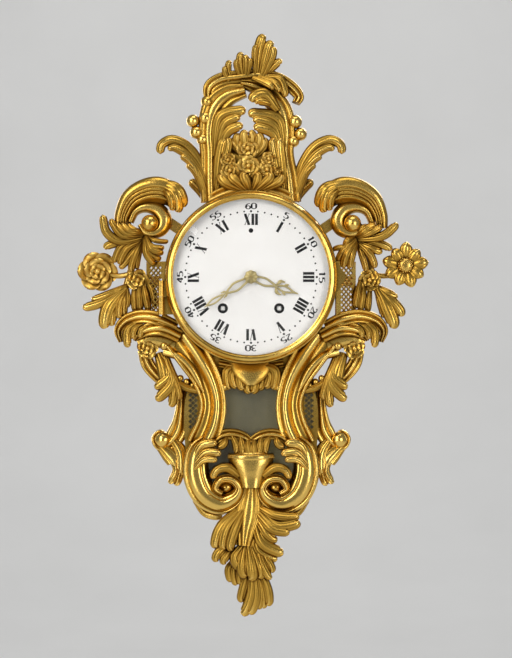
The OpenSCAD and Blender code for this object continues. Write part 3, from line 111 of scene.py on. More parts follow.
ARM_FORM = [(-1, -1), (-1, 0), (-0.92, 0.4), (-0.76, 0.58), (-0.6, 0.52), (-0.5, 0.44), (-0.4, 0.6),
            (-0.2, 0.82), (0, 0.86), (0.2, 0.78), (0.34, 0.6), (0.42, 0.48), (0.54, 0.56), (0.74, 0.58),
            (0.92, 0.36), (1, 0), (1, -1)]
REED_FORM = symmetric([(-1, -1), (-1, 0.05), (-0.92, 0.42), (-0.74, 0.6), (-0.54, 0.52), (-0.42, 0.44),
                       (-0.26, 0.72), (0, 0.9)])
FLUTE_FORM = symmetric([(-1, -0.8), (-1, -0.1), (-0.92, 0.26), (-0.8, 0.36), (-0.7, 0.3), (-0.62, 0.42),
                        (-0.48, 0.58), (-0.36, 0.52), (-0.28, 0.6), (-0.14, 0.76), (0, 0.8)])
ROUND_FORM = symmetric([(-1, -0.8), (-1, 0), (-0.8, 0.55), (-0.4, 0.92), (0, 1)])
# A leaf's flute has a section all round, from the middle of its back and nearly back to it
FINGER_FORM = symmetric([(0, -0.9), (-0.6, -0.5), (-1, -0.15), (-0.94, 0.26), (-0.78, 0.56), (-0.58, 0.72),
                         (-0.46, 0.7), (-0.34, 0.82), (-0.16, 0.97), (0, 1)])[:-1]

# Least half width of a band, and its rings to each stretch between two rows
THINNEST, BAND_RINGS = 0.6, 16
# A flute's rings and points round it
FLUTE_RINGS, FLUTE_POINTS = 25, 35
# Flutes of a fan lie at five levels, this far apart, and their tips curl aside by a share of the half width
LEVEL_STEP, TIP_CURL = 0.7, 0.55
# Half widths of a flute of a fan at its root, neck and tip, and how far neck and tip stay short of its end
ROOT_WIDTH, NECK_WIDTH, TIP_WIDTH = 0.6, 0.95, 0.7
NECK_SHORT, TIP_SHORT = 0.24, 0.03
# Where a petal is widest, and half its length, as shares of its reach
PETAL_WIDEST, PETAL_HALF = 0.56, 0.445
# Circles of petals from the outside in: shares of the flower's radius and height, and a petal's half width
SMALL_CIRCLES = ((1, 0.0, 0.52), (0.6, 0.3, 0.6))
LARGE_CIRCLES = ((1, 0.0, 0.5), (0.68, 0.26, 0.54), (0.4, 0.46, 0.62))
LARGE_FLOWER = 16
CIRCLE_TURN = 38
# How far the foot of a dial figure lies under the enamel's face
INK_FOOT = -0.3


class Casting:
    """Gathers closed skins into one mesh, with painted light at each point: 0 for painted shade in the
    hollows to 1 for a painted highlight on the high places.
    """

    def __init__(self):
        self.points, self.faces, self.tones, self.count = [], [], [], 0

    def skin(self, rings, tones):
        """Joins rings of points into a tube that is closed at both ends."""
        n, m = rings.shape[:2]
        i, j = np.meshgrid(np.arange(n - 1), np.arange(m), indexing="ij")
        k = (j + 1) % m
        quads = np.stack([i * m + j, (i + 1) * m + j, (i + 1) * m + k, i * m + k], -1).reshape(-1, 4)
        self.faces += (quads + self.count).tolist()
        first, end = self.count + n * m, self.count + (n - 1) * m
        for a in range(m):
            b = (a + 1) % m
            self.faces.append([first, self.count + a, self.count + b])
            self.faces.append([first + 1, end + b, end + a])
        middles = np.array([rings[0].mean(0), rings[-1].mean(0)])
        self.points.append(np.vstack([rings.reshape(-1, 3), middles]))
        self.tones.append(np.concatenate([tones.reshape(-1), [tones[0].mean(), tones[-1].mean()]]))
        self.count += n * m + 2

    def band(self, rows, thick, form=REED_FORM, flip=False, points=44):
        """A moulded band along the rows, thinner where it is narrow."""
        s = np.linspace(0, 1, BAND_RINGS * (len(rows) - 1) + 1)
        p, w, side, out = moving_frame(rows, s)
        w = np.maximum(w, THINNEST)
        q = spline(form, np.linspace(0, 1, points))
        if flip:
            q = q[::-1] * (-1, 1)
        t = thick * np.minimum(1, 0.35 + w / 9)
        # Painted light across the band: darker in its grooves, lighter on its ridges.
        tone = np.clip(0.42 + 0.54 * q[:, 1], 0.32, 1)
        self.skin(swept(p, side, out, q, w, t), np.tile(tone, (len(s), 1)))

    def leaf(self, rows, lobes, thick, cut):
        """An acanthus leaf: lobes that lean to the tip, hollows between them, and a raised midrib."""
        lean, crown, puff, droop, ruffle = 1.1, 0.14, 0.3, 0.1, 0.04
        u = np.linspace(0, 1, 12 * lobes + 1)[:, None]
        v = np.linspace(-1, 1, 25)[None, :]
        a = np.abs(v)
        phase = (u * lobes) % 1.0
        swell = np.sqrt(np.abs(np.sin(np.pi * phase)))
        root = np.clip(u * lobes * 1.6, 0, 1)
        span = a * (1 - cut * (1 - swell) * root)
        s = u + lean / lobes * span * (1 - u) ** 0.7
        p, w, side, out = moving_frame(rows, s)
        w = np.maximum(w, THINNEST)
        end = np.sqrt(np.clip(1 - (np.clip(u - 0.94, 0, 1) / 0.061) ** 2, 0.02, 1))
        rib = 0.09 * np.exp(-((v / 0.09) ** 2)) * (1 - u) - 0.06 * np.exp(-(((a - 0.22) / 0.08) ** 2))
        vein = -0.05 * a * np.exp(-(((phase - 0.5) / 0.07) ** 2))
        lift = crown * (1 - a**2) + puff * a**0.8 * (swell - 0.35) * root * (1 - 0.45 * a) - droop * a**3
        lift = lift + rib + vein + ruffle * a**2 * np.sin(2 * np.pi * u * lobes)
        across = np.sign(v) * span * w * end
        top = p + side * across[..., None] + out * (lift * w)[..., None]
        depth = thick * (1 - 0.55 * a) * np.ones_like(u)
        low = (top - out * depth[..., None])[:, ::-4]
        # Painted light: lighter on the swelling lobes and the raised midrib, darker in the grooves beside it,
        # in the veins and on the underside.
        tone = np.clip(0.25 + 0.75 * (a * swell * root + (1 - a) * 0.7) + 2.2 * (rib + vein), 0.08, 1)
        self.skin(np.concatenate([top, low], 1), np.concatenate([tone, np.full(low.shape[:2], 0.3)], 1))

    def lathe(self, x, y, profile, sectors=24, ripple=0.0, waves=0):
        """A turned form on the line x, y: profile is [radius, z] from back to front, with waves round it."""
        angle = -np.linspace(0, 2 * np.pi, sectors, endpoint=False)
        profile = np.asarray(profile, float)
        r = np.maximum(profile[:, :1], 0.05) * (1 + ripple * np.cos(waves * angle))[None, :]
        rings = np.stack([x + r * np.cos(angle), y + r * np.sin(angle), profile[:, 1:] + 0 * r], -1)
        # Painted light: a turned form a little below full light, with painted shade in the dents between its
        # waves.
        dent = 0.5 * (1 + np.cos(waves * angle)) if waves else np.ones(sectors)
        self.skin(rings, 0.85 * (0.45 + 0.55 * dent)[None, :] * np.ones((len(profile), 1)))

    def berry(self, x, y, z, r):
        """A round berry with a small dent on top."""
        t = np.linspace(-math.pi / 2, math.pi / 2 - 0.12, 13)
        profile = [[r * math.cos(k), z + r * math.sin(k)] for k in t] + [[0.05 * r, z + 0.9 * r]]
        self.lathe(x, y, profile, 22)

    def finger(self, rows, thick):
        """One round-tipped flute of a leaf, thinner where it is narrow and at its tip."""
        s = np.linspace(0, 1, FLUTE_RINGS)
        p, w, side, out = moving_frame(rows, s)
        step = np.linalg.norm(np.diff(p, axis=0), axis=1)
        left = np.concatenate([np.cumsum(step[::-1])[::-1], [0]])
        close = np.sqrt(np.clip(1 - (1 - np.minimum(left / w, 1)) ** 2, 0.01, 1))
        q = spline(FINGER_FORM, np.linspace(0, 1, FLUTE_POINTS))
        t = thick * np.minimum(1, 0.3 + w / 6) * (0.35 + 0.65 * close)
        # Painted light: darker low on the flute's sides and underneath, with painted shade at its root that
        # gives way to light towards the tip.
        tone = np.clip(0.2 + 0.8 * q[:, 1], 0.12, 1)
        self.skin(swept(p, side, out, q, w * close, t), tone * (0.42 + 0.58 * s[:, None] ** 0.8))

    def fan(self, fingers, levels, thick):
        """Flutes from about one root; levels are z at the root, midway and near the tip, which curls."""
        root, middle, tip = levels
        for i, (x0, y0, x1, y1, x2, y2, w) in enumerate(fingers):
            rise = LEVEL_STEP * (i * 7 % 5)
            dx, dy = x2 - x1, y2 - y1
            turn = (x1 - x0) * dy - (y1 - y0) * dx
            bend = math.copysign(TIP_CURL * w / math.hypot(dx, dy), turn)
            tip_x, tip_y = x2 - TIP_SHORT * dx - bend * dy, y2 - TIP_SHORT * dy + bend * dx
            self.finger([
                [x0, y0, root + rise, ROOT_WIDTH * w],
                [x1, y1, middle + rise, w],
                [x2 - NECK_SHORT * dx, y2 - NECK_SHORT * dy, tip + rise + 1, NECK_WIDTH * w],
                [tip_x, tip_y, tip + rise - 1, TIP_WIDTH * w],
            ], thick)

    def petal(self, x, y, z, angle, r, rise, wide, thick):
        """A round petal that spreads from x, y, hollow in the middle, with one side tucked under the next."""
        u = np.linspace(0.1, 1.0, 17)[:, None]
        v = np.linspace(-1, 1, 15)[None, :]
        half = wide * r * np.sqrt(np.clip(1 - ((u - PETAL_WIDEST) / PETAL_HALF) ** 2, 0.04, 1))
        far, across = r * u * np.ones_like(v), half * v
        hollow = 0.4 * rise * (v**2 + 0.6 * (u / PETAL_WIDEST - 1) ** 2)
        up = z + rise * (0.3 + 0.35 * u + 0.32 * v) + hollow - 3.2 * rise * np.clip(u - 0.88, 0, 1)
        ca, sa = math.cos(angle), math.sin(angle)
        top = np.stack([x + far * ca - across * sa, y + far * sa + across * ca, up], -1)
        low = (top - np.array([0, 0, thick]))[:, ::-4]
        # Painted light: lighter towards the petal's tip and edges, its underside a middle shade.
        tone = np.clip(0.6 + 0.25 * u + 0.2 * v**2, 0.2, 1)
        self.skin(np.concatenate([top, low], 1), np.concatenate([tone, np.full(low.shape[:2], 0.5)], 1))

    def flower(self, x, y, z, r, count, high, turn):
        """Circles of petals, each inside and above the last with one petal fewer, round a small eye."""
        large = r > LARGE_FLOWER
        for k, (share, foot, wide) in enumerate(LARGE_CIRCLES if large else SMALL_CIRCLES):
            for i in range(count - k):
                angle = math.radians(turn + CIRCLE_TURN * k) + 2 * math.pi * i / (count - k)
                rise, thick = 0.4 * high * share**0.5, 0.22 * high
                self.petal(x, y, z + foot * high, angle, r * share, rise, wide, thick)
        self.berry(x, y, z + 0.72 * high, (0.15 if large else 0.22) * r)

    def stroke(self, path, widths, level, top):
        """A flat line on the dial that stands up by top; level gives the surface at a radius."""
        path, widths = np.asarray(path, float), np.asarray(widths, float)
        ahead = np.gradient(path, axis=0)
        side = unit(np.stack([-ahead[:, 1], ahead[:, 0]], -1)) * widths[:, None]
        rings = []
        for c, w in zip(path, side):
            right, left = c - w, c + w
            corners = ((right, INK_FOOT), (right, top), (left, top), (left, INK_FOOT))
            rings.append([[*q, level(math.hypot(*q)) + k] for q, k in corners])
        self.skin(np.array(rings), np.ones((len(path), 4)))

    def piece(self, name, material, body, node=None, mirror=False, sharp=42):
        """Makes the mesh object, which rides on a body and may stand for a CAD node."""
        p = np.vstack(self.points)
        faces = self.faces
        if mirror:
            p = p * (-1, 1, 1)
            faces = [f[::-1] for f in faces]
        mesh = bpy.data.meshes.new(name)
        mesh.from_pydata(np.stack([p[:, 0], -p[:, 2], p[:, 1]], -1) / MM_PER_M, [], faces)
        # The painted light goes onto the mesh, where the gilding reads it.
        attribute = mesh.attributes.new("tone", "FLOAT", "POINT")
        attribute.data.foreach_set("value", np.concatenate(self.tones).astype(np.float32))
        mesh.shade_smooth()
        mesh.set_sharp_from_angle(angle=math.radians(sharp))
        mesh.materials.append(material)
        obj = bpy.data.objects.new(name, mesh)
        scene.collection.objects.link(obj)
        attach(obj, body)
        if node:
            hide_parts(node)


# Materials

# Most of a noise's values lie in this range
NOISE_RANGE = (0.3, 0.7)
# Sockets of a mix of two colours
MIX_SHARE, MIX_FIRST, MIX_SECOND, MIX_RESULT = 0, 6, 7, 2
# How far a shade node looks, in metres: across a groove, and across the gap between two leaves
GROOVE_REACH, GAP_REACH = 0.004, 0.016
# Scales of noise, in waves to the metre
CLOUD, STAIN, DENTS, METAL_GRAIN, GILT_GRAIN = 22.0, 60.0, 260.0, 400.0, 900.0


class Finish:
    """A material with its Principled node and a short way to add nodes to it."""

    def __init__(self, name, **values):
        self.material = bpy.data.materials.new(name)
        self.material.use_nodes = True
        self.tree = self.material.node_tree
        self.shader = self.tree.nodes["Principled BSDF"]
        for key, value in values.items():
            self.shader.inputs[key.replace("_", " ")].default_value = value

    def fill(self, socket, value):
        """Links a socket to another node's output, or sets it to a plain value."""
        if isinstance(value, bpy.types.NodeSocket):
            self.tree.links.new(value, socket)
        else:
            socket.default_value = value

    def node(self, kind, inputs=None, **settings):
        """A new node with its settings and inputs."""
        n = self.tree.nodes.new(kind)
        for key, value in settings.items():
            setattr(n, key, value)
        for key, value in (inputs or {}).items():
            self.fill(n.inputs[key], value)
        return n

    def noise(self, scale, detail=3.0, rough=0.5):
        """Noise that is fixed to the piece."""
        place = self.node("ShaderNodeTexCoord").outputs["Object"]
        inputs = {"Vector": place, "Scale": scale, "Detail": detail, "Roughness": rough}
        return self.node("ShaderNodeTexNoise", inputs).outputs["Fac"]

    def shade(self, reach):
        """0 in a closed corner to 1 where nothing within reach stands in the way; the gilding paints shade
        into its colour with it.
        """
        return self.node("ShaderNodeAmbientOcclusion", {"Distance": reach}, samples=6).outputs["AO"]

    def math(self, operation, a, b):
        return self.node("ShaderNodeMath", {0: a, 1: b}, operation=operation).outputs[0]

    def span(self, value, low, high, out_low, out_high):
        """A value's range from low to high, brought to another range."""
        inputs = {"Value": value, "From Min": low, "From Max": high, "To Min": out_low, "To Max": out_high}
        return self.node("ShaderNodeMapRange", inputs).outputs["Result"]

    def vary(self, noise, low, high):
        """A noise brought to the range from low to high."""
        return self.span(noise, *NOISE_RANGE, low, high)

    def ramp(self, value, stops):
        """Colours at their stops, mixed between them."""
        n = self.node("ShaderNodeValToRGB", {"Fac": value})
        while len(n.color_ramp.elements) < len(stops):
            n.color_ramp.elements.new(0.5)
        for element, (at, colour) in zip(n.color_ramp.elements, stops):
            element.position = at
            element.color = (*colour, 1)
        return n.outputs["Color"]

    def mix(self, share, first, second):
        """One colour, with a share of another."""
        n = self.node("ShaderNodeMix", data_type="RGBA")
        self.fill(n.inputs[MIX_SHARE], share)
        self.fill(n.inputs[MIX_FIRST], (*first, 1))
        self.fill(n.inputs[MIX_SECOND], (*second, 1))
        return n.outputs[MIX_RESULT]

    def set(self, key, value):
        self.tree.links.new(value, self.shader.inputs[key])

    def bump(self, height, strength, distance):
        inputs = {"Height": height, "Strength": strength, "Distance": distance}
        self.set("Normal", self.node("ShaderNodeBump", inputs).outputs["Normal"])


# Gold from deep painted shade at 0 to a pale painted highlight at 1, and a paler, greyer gold for the hands.
GOLD_SHADE_STOPS = [(0.0, (0.07, 0.028, 0.007)), (0.3, (0.19, 0.096, 0.017)), (0.6, (0.38, 0.215, 0.03)),
              (0.88, (0.67, 0.395, 0.068)), (1.0, (0.9, 0.6, 0.15))]
HAND_SHADE_STOPS = [(0.0, (0.2, 0.15, 0.05)), (0.5, (0.45, 0.36, 0.15)), (1.0, (0.76, 0.66, 0.36))]


def gilding(name, carved=True, polish=0.0, darken=0.0, hollow=0.2, stops=GOLD_SHADE_STOPS):
    """Mercury gilding: red-brown painted shade in the hollows and painted highlights on the high places, matt
    on the flanks and burnished on the high places.

    A carved piece carries painted light of its own; hollow is the share of light that is left in its grooves.
    """
    f = Finish(name, Metallic=1.0)
    # Painted shade: the colour darkens where the shade nodes find grooves and gaps and, on a carved piece,
    # where its painted light is low.
    groove_shade = f.shade(GROOVE_REACH)
    if carved:
        tone = f.node("ShaderNodeAttribute", attribute_name="tone").outputs["Fac"]
        level = f.math("MULTIPLY", f.span(groove_shade, 0.1, 0.75, hollow, 1.0), f.span(tone, 0.1, 0.95, 0.4, 1.0))
        gap_shade = f.shade(GAP_REACH)
        level = f.math("MULTIPLY", level, f.span(gap_shade, 0.15, 0.85, 0.42 + 0.4 * hollow, 1.04))
    else:
        # Painted shade in grooves and corners, from the shade node alone.
        level = f.span(groove_shade, 0.25, 0.95, 0.2, 0.92)
    level = f.math("ADD", level, f.vary(f.noise(CLOUD, 4.0), -0.09 - darken, 0.09 - darken))
    # The ramp gives painted shade at the low levels and a painted highlight at the top.
    f.set("Base Color", f.ramp(level, stops))
    grain = f.noise(GILT_GRAIN, 2.0)
    smooth = f.span(level, 0.3, 1.0, 0.44 - polish, 0.25 - polish)
    f.set("Roughness", f.math("ADD", smooth, f.vary(grain, -0.04, 0.05)))
    f.bump(f.math("ADD", grain, f.math("MULTIPLY", f.noise(DENTS), 1.5)), 0.22, 0.0003)
    return f.material


def metal(name, colour, dark, rough, metallic=1.0):
    """Worked metal with fine grain and slight staining."""
    f = Finish(name, Metallic=metallic)
    f.set("Base Color", f.mix(f.span(f.noise(STAIN, 5.0), 0.35, 0.7, 0.0, 0.6), colour, dark))
    grain = f.noise(METAL_GRAIN, 2.0)
    f.set("Roughness", f.vary(grain, rough - 0.06, rough + 0.08))
    f.bump(grain, 0.12, 0.0002)
    return f.material


def enamel(name):
    """Fired white enamel: glossy, very slightly uneven, with a faint warm cloud."""
    f = Finish(name, Specular_IOR_Level=0.5, Coat_Weight=0.4, Coat_Roughness=0.05)
    cloud = f.noise(35.0, 4.0)
    f.set("Base Color", f.ramp(cloud, [(0.3, (0.88, 0.874, 0.866)), (0.7, (0.92, 0.918, 0.914))]))
    f.set("Roughness", f.vary(f.noise(120.0), 0.12, 0.2))
    f.bump(f.noise(45.0, 2.0), 0.05, 0.0006)
    return f.material


def black_enamel(name):
    """The fired black of the figures."""
    f = Finish(name, Specular_IOR_Level=0.2)
    cloud = f.noise(500.0)
    f.set("Base Color", f.ramp(cloud, [(0.3, (0.006, 0.006, 0.007)), (0.8, (0.02, 0.019, 0.018))]))
    f.set("Roughness", f.vary(f.noise(300.0), 0.22, 0.34))
    return f.material


def paint(name, colour, dark):
    """Old matt paint with darker clouds."""
    f = Finish(name)
    f.set("Base Color", f.mix(f.span(f.noise(30.0, 6.0, 0.65), 0.35, 0.75, 0.0, 1.0), colour, dark))
    f.set("Roughness", f.vary(f.noise(150.0), 0.42, 0.58))
    f.bump(f.noise(220.0, 4.0), 0.15, 0.0004)
    return f.material


def clear(name, tint, veil=0.0):
    """Old window glass, with a thin veil of dust, that lets the lamps through to what is behind it."""
    f = Finish(name, Base_Color=(*tint, 1), IOR=1.46, Transmission_Weight=1.0 - veil)
    f.set("Roughness", f.vary(f.noise(14.0), 0.0, 0.03))
    ray = f.node("ShaderNodeLightPath").outputs["Is Shadow Ray"]
    bare = f.node("ShaderNodeBsdfTransparent", {"Color": (*tint, 1)})
    mixed = f.node("ShaderNodeMixShader", {0: ray, 1: f.shader.outputs["BSDF"], 2: bare.outputs["BSDF"]})
    f.tree.links.new(mixed.outputs["Shader"], f.tree.nodes["Material Output"].inputs["Surface"])
    return f.material


gilt = gilding("chased_gilding")
# Lighter copies for the smoother pieces and the flowers: their colour is lifted all over as painted light,
# and a higher hollow leaves less painted shade in their grooves.
gilt_smooth = gilding("smooth_gilding", polish=0.05, darken=-0.18, hollow=0.45)
gilt_matt = gilding("matt_gilding", polish=-0.14, darken=-0.05, hollow=0.45)
gilt_plain = gilding("plain_gilding", carved=False)
gilt_bright = gilding("burnished_gilding", carved=False, polish=0.08)
gilt_hand = gilding("hand_gilding", polish=-0.12, darken=0.04, hollow=0.9, stops=HAND_SHADE_STOPS)
brass = metal("grained_brass", (0.78, 0.58, 0.22), (0.52, 0.34, 0.1), 0.3)
steel = metal("polished_steel", (0.55, 0.56, 0.58), (0.36, 0.36, 0.37), 0.26)
# Painted highlight: the winding squares' ends are a pale, only partly metallic steel that shows white from
# the front.
highlight_steel = metal("winding_square_highlight_steel", (0.88, 0.88, 0.86), (0.74, 0.74, 0.72), 0.36, metallic=0.3)
bell_metal = metal("bell_metal", (0.62, 0.43, 0.2), (0.4, 0.25, 0.1), 0.34)
white = enamel("white_enamel")
black = black_enamel("black_enamel")
olive = paint("olive_paint", (0.3, 0.27, 0.14), (0.2, 0.18, 0.09))
dial_glass = clear("dial_glass", (0.99, 0.99, 0.985))
window_glass = clear("window_glass", (0.94, 0.91, 0.7), veil=0.075)

NODE_FINISH = {
    "case_body": gilt_plain, "back_plate": olive, "window_pane": window_glass, "bezel_glass": dial_glass,
    "left_side_fret": gilt_plain, "right_side_fret": gilt_plain, "bezel": gilt_bright, "dial": white,
    "bell": bell_metal, "going_arbor": highlight_steel, "strike_arbor": highlight_steel,
}
STEEL_NODES = ("hinge_pin", "cannon_pinion", "pallets", "hammer")
for name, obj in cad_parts.items():
    finish = NODE_FINISH.get(name, steel if name in STEEL_NODES else brass)
    obj.data.materials.clear()
    obj.data.materials.append(finish)

# Castings, each made by a function with the name of its node. Rows are [x, y, z, half width], and a flute of
# a fan is [x, y at the root, x, y midway, x, y at the tip, half width]. Mirrored ones are drawn at the left.


def single(make, material=gilt, mirror=False, side=""):
    """A casting that stands for the node of its name."""
    c = Casting()
    make(c)
    node = side + make.__name__
    c.piece(node + "_casting", material, "case", node, mirror)


def pair(make, material=gilt):
    """A casting on the left and its mirror image on the right."""
    single(make, material, side="left_")
    single(make, material, mirror=True, side="right_")


def pilaster(c):
    c.band([[-80, -68, 60, 20], [-64, -91, 62, 19], [-50, -115, 62, 16.5], [-43, -140, 62, 15],
            [-46, -165, 62, 16], [-57, -190, 61, 16]], 10, PILASTER_FORM, points=64)


def lower_scroll(c):
    c.band([[-50, -184, 62, 8], [-60, -198, 62, 13], [-62, -222, 62, 15], [-53, -245, 62, 14.5],
            [-35, -256, 62, 12], [-19, -250, 63, 9], [-13, -238, 64, 6.5], [-21, -228, 66, 5.5],
            [-34, -228, 67, 5], [-40, -238, 67, 4], [-33, -244, 67, 3]], 10, LOWER_FORM, points=60)
    c.fan([[-64, -252, -52, -266, -34, -271, 5], [-58, -250, -46, -262, -30, -266, 4]], (54, 56, 58), 4.5)
    c.fan([[-66, -206, -56, -190, -40, -186, 5.5], [-64, -210, -52, -198, -35, -198, 5],
           [-64, -216, -54, -206, -39, -205, 4]], (66, 69, 70), 4)
    c.berry(-28, -237, 54, 9)


def side_volute(c):
    c.band([[-79, -118, 46, 6], [-79, -140, 46, 6], [-80, -158, 46, 8], [-83, -174, 45, 11],
            [-92, -187, 44, 10], [-103, -190, 44, 7], [-108, -183, 44, 5.5], [-103, -177, 45, 4.5],
            [-98, -182, 46, 3]], 8, REED_FORM)
    c.fan([[-105, -189, -93, -201, -84, -213, 9], [-90, -182, -80, -198, -78, -222, 8],
           [-92, -200, -85, -217, -91, -233, 4.6], [-86, -202, -81, -219, -84, -235, 4.6]], (44, 47, 48), 5)
    c.berry(-100, -184, 46, 9.5)


def shoulder_leaf(c):
    c.band([[-84, -56, 66, 7], [-104, -47, 68, 8], [-124, -44, 64, 8], [-141, -49, 58, 7.5],
            [-150, -60, 54, 5.5], [-147, -73, 54, 3]], 7, REED_FORM)
    c.band([[-80, -66, 66, 8], [-98, -58, 68, 8.5], [-114, -58, 65, 8], [-127, -64, 60, 6],
            [-132, -70, 57, 3]], 7, REED_FORM)
    c.fan([[-128, -50, -139, -60, -140, -78, 5], [-122, -52, -131, -58, -134, -68, 4],
           [-112, -55, -122, -58, -126, -66, 4]], (62, 63, 62), 4)
    c.band([[-86, -76, 58, 9], [-102, -71, 58, 9], [-116, -70, 57, 7], [-128, -73, 55, 4]], 6, ROUND_FORM)
    c.flower(-117, -80, 59, 12.5, 5, 8, 10)
    c.berry(-98, -77, 60, 5.5)


def waist_leaf(c):
    c.band([[-122, -82, 48, 7], [-117, -98, 48, 8], [-106, -112, 51, 7], [-92, -124, 54.5, 5.5]],
           6, REED_FORM)
    c.fan([[-105, -86, -98, -104, -95, -122, 8.5], [-98, -90, -92, -110, -107, -125, 6.4],
           [-96, -92, -89, -117, -106, -139, 6.4], [-95, -92, -88, -120, -89, -146, 5.6],
           [-94, -92, -86, -116, -80, -137, 4.5], [-94, -95, -82, -119, -56, -130, 4.5]], (56, 61, 60), 4.5)
    c.band([[-98, -84, 58, 5.5], [-82, -89, 62, 5], [-69, -101, 63, 5], [-60, -116, 63, 4.5],
            [-54, -129, 62, 2]], 6, ROUND_FORM)
    for x, y in ((-80, -114), (-73, -118), (-66, -122)):
        c.berry(x, y, 60, 4)


def wing_scroll(c):
    c.band([[-146, 56, 56, 9], [-144, 71, 58, 10.5], [-135, 87, 60, 13.5], [-120, 95.5, 61, 16],
            [-104, 97, 62, 17], [-91, 92, 61, 14], [-84, 83, 60, 8]], 10, WING_FORM, points=72, flip=True)
    c.band([[-137, 63, 55, 4], [-131, 75, 55, 5], [-119, 80, 56, 6.5], [-106, 77, 57, 8.5], [-99, 67, 58, 9],
            [-101, 56, 59, 8], [-110, 50, 60, 6], [-120, 52, 60, 4.5], [-126, 60, 60, 3]], 7, ROUND_FORM)
    c.fan([[-107, 107, -86, 100, -76, 82, 8], [-103, 104, -87, 95, -81, 75, 6.5],
           [-100, 100, -91, 91, -88, 77, 5]], (59, 67, 62), 5)
    c.berry(-114.5, 61, 64, 10)


WING_STEM = [[-121, 45, 54, 4], [-131, 25, 53, 4], [-137, 6, 52, 4], [-142, -11, 52, 4]]


def left_wing_leaves(c):
    c.finger([[-118, 46, 56, 3], [-146, 41, 63, 5], [-163, 51, 64, 5.4], [-168, 71, 62, 4.6]], 4.5)
    c.fan([[-119, 47, -144, 47, -160, 65, 4.5], [-119, 48, -138, 49, -153, 60, 4.2],
           [-120, 50, -134, 51, -146, 60, 3.8], [-120, 51, -130, 53, -139, 59, 3.4]], (56, 64, 62), 4.5)
    c.fan([[-121, 44, -144, 41, -167, 35, 5], [-123, 43, -145, 36, -156, 18, 4.5],
           [-123, 42, -139, 34, -150, 16, 4.5], [-122, 44, -133, 29, -148, 10, 4.2],
           [-122, 44, -130, 28, -137, 7, 4.5], [-122, 42, -127, 28, -130, 10, 3.8]], (53, 59, 57), 4.2)
    c.fan([[-118, 48, -109, 42, -94, 40, 3], [-119, 46, -112, 35, -99, 33, 3.6],
           [-119, 46, -113, 33, -100, 27, 4.2], [-119, 45, -116, 30, -103, 20, 4.6],
           [-120, 44, -118, 28, -110, 15, 4.6]], (60, 66, 64), 4.2)
    c.band(WING_STEM, 4, ROUND_FORM)
    c.fan([[-140, -9, -158, -18, -180, -26, 5], [-142, -10, -164, -26, -190, -35, 5.5],
           [-142, -12, -160, -32, -167, -56, 8], [-141, -12, -154, -28, -159, -54, 6],
           [-141, -13, -148, -28, -150, -45, 5], [-140, -13, -143, -27, -144, -43, 4.4],
           [-140, -13, -139, -23, -140, -33, 3.4]], (53, 58, 56), 4.5)
    c.fan([[-132, -8, -132, -24, -131, -38, 4.4], [-127, -8, -126, -24, -125, -38, 4.2],
           [-122, -8, -119, -22, -116, -38, 4.4], [-118, -4, -112, -14, -108, -34, 4.4]], (55, 59, 57), 4)
    c.flower(-128, -3, 57, 13, 5, 8, 0)


def right_wing_leaves(c):
    c.fan([[-117, 43, -146, 46, -166, 60, 5.2], [-118, 44, -134, 51, -147, 57, 4.6],
           [-118, 46, -128, 53, -139, 60, 4.4], [-118, 47, -124, 54, -131, 58, 4]], (56, 64, 62), 4.5)
    c.fan([[-119, 42, -140, 40, -159, 33, 5], [-120, 40, -136, 33, -147, 29, 4.6],
           [-120, 40, -133, 28, -141, 12, 4.6], [-120, 40, -126, 24, -131, 7, 4.2]], (53, 59, 57), 4.2)
    c.fan([[-117, 46, -109, 42, -106, 35, 3.6], [-118, 43, -106, 33, -97, 18, 4.2],
           [-118, 41, -109, 29, -103, 12, 4.6], [-119, 39, -114, 26, -111, 12, 4.6],
           [-112, 36, -101, 34, -93, 32, 3.2]], (60, 66, 64), 4.2)
    c.band(WING_STEM, 4, ROUND_FORM)
    c.fan([[-142, -10, -154, -17, -164, -22, 5], [-143, -11, -158, -26, -172, -42, 6.5],
           [-143, -13, -153, -32, -163, -56, 8], [-142, -14, -147, -29, -151, -44, 5]], (53, 58, 56), 4.5)
    c.fan([[-135, -10, -133, -26, -132, -39, 4], [-128, -8, -126, -22, -124, -38, 4.4],
           [-124, -4, -120, -18, -118, -34, 4.2]], (55, 59, 57), 4)
    c.flower(-134, -3, 57, 13, 6, 8, 0)


FLOWER_STEM = [[-138, 4, 52, 3], [-150, 2, 50, 3], [-164, 4, 50, 3], [-176, 8, 50, 3]]


def rose_spray(c):
    c.band(FLOWER_STEM, 4, ROUND_FORM)
    c.flower(-174, 7, 47, 23, 6, 14, 54)


def sunflower_spray(c):
    c.band(FLOWER_STEM, 4, ROUND_FORM)
    x, y = -175, 14
    petals, first_angle = 9, 12
    for k in range(petals):
        a = math.radians(360 / petals * k + first_angle)
        reach = 24.6 + 1.6 * math.cos(3 * k)
        c.finger([[x + math.cos(a) * reach * q, y + math.sin(a) * reach * q, z + LEVEL_STEP * (k % 2), w]
                  for q, z, w in ((0.2, 50, 4), (0.5, 53, 7.4), (0.78, 54, 7), (1, 51, 3.4))], 3.6)
    c.lathe(x, y, [[7, 50], [8.4, 55], [8.2, 57], [6.4, 59.4], [4, 60.4], [0.3, 60.6]], 36)
    # Seeds on a spiral with the golden angle, on the domed disc
    golden_angle, spacing, seed_r, dome_z, dome_fall = 137.5, 1.25, 0.95, 60.3, 0.035
    for i in range(3, 46):
        r, a = spacing * math.sqrt(i), math.radians(golden_angle * i)
        c.berry(x + r * math.cos(a), y + r * math.sin(a), dome_z - dome_fall * r * r, seed_r)


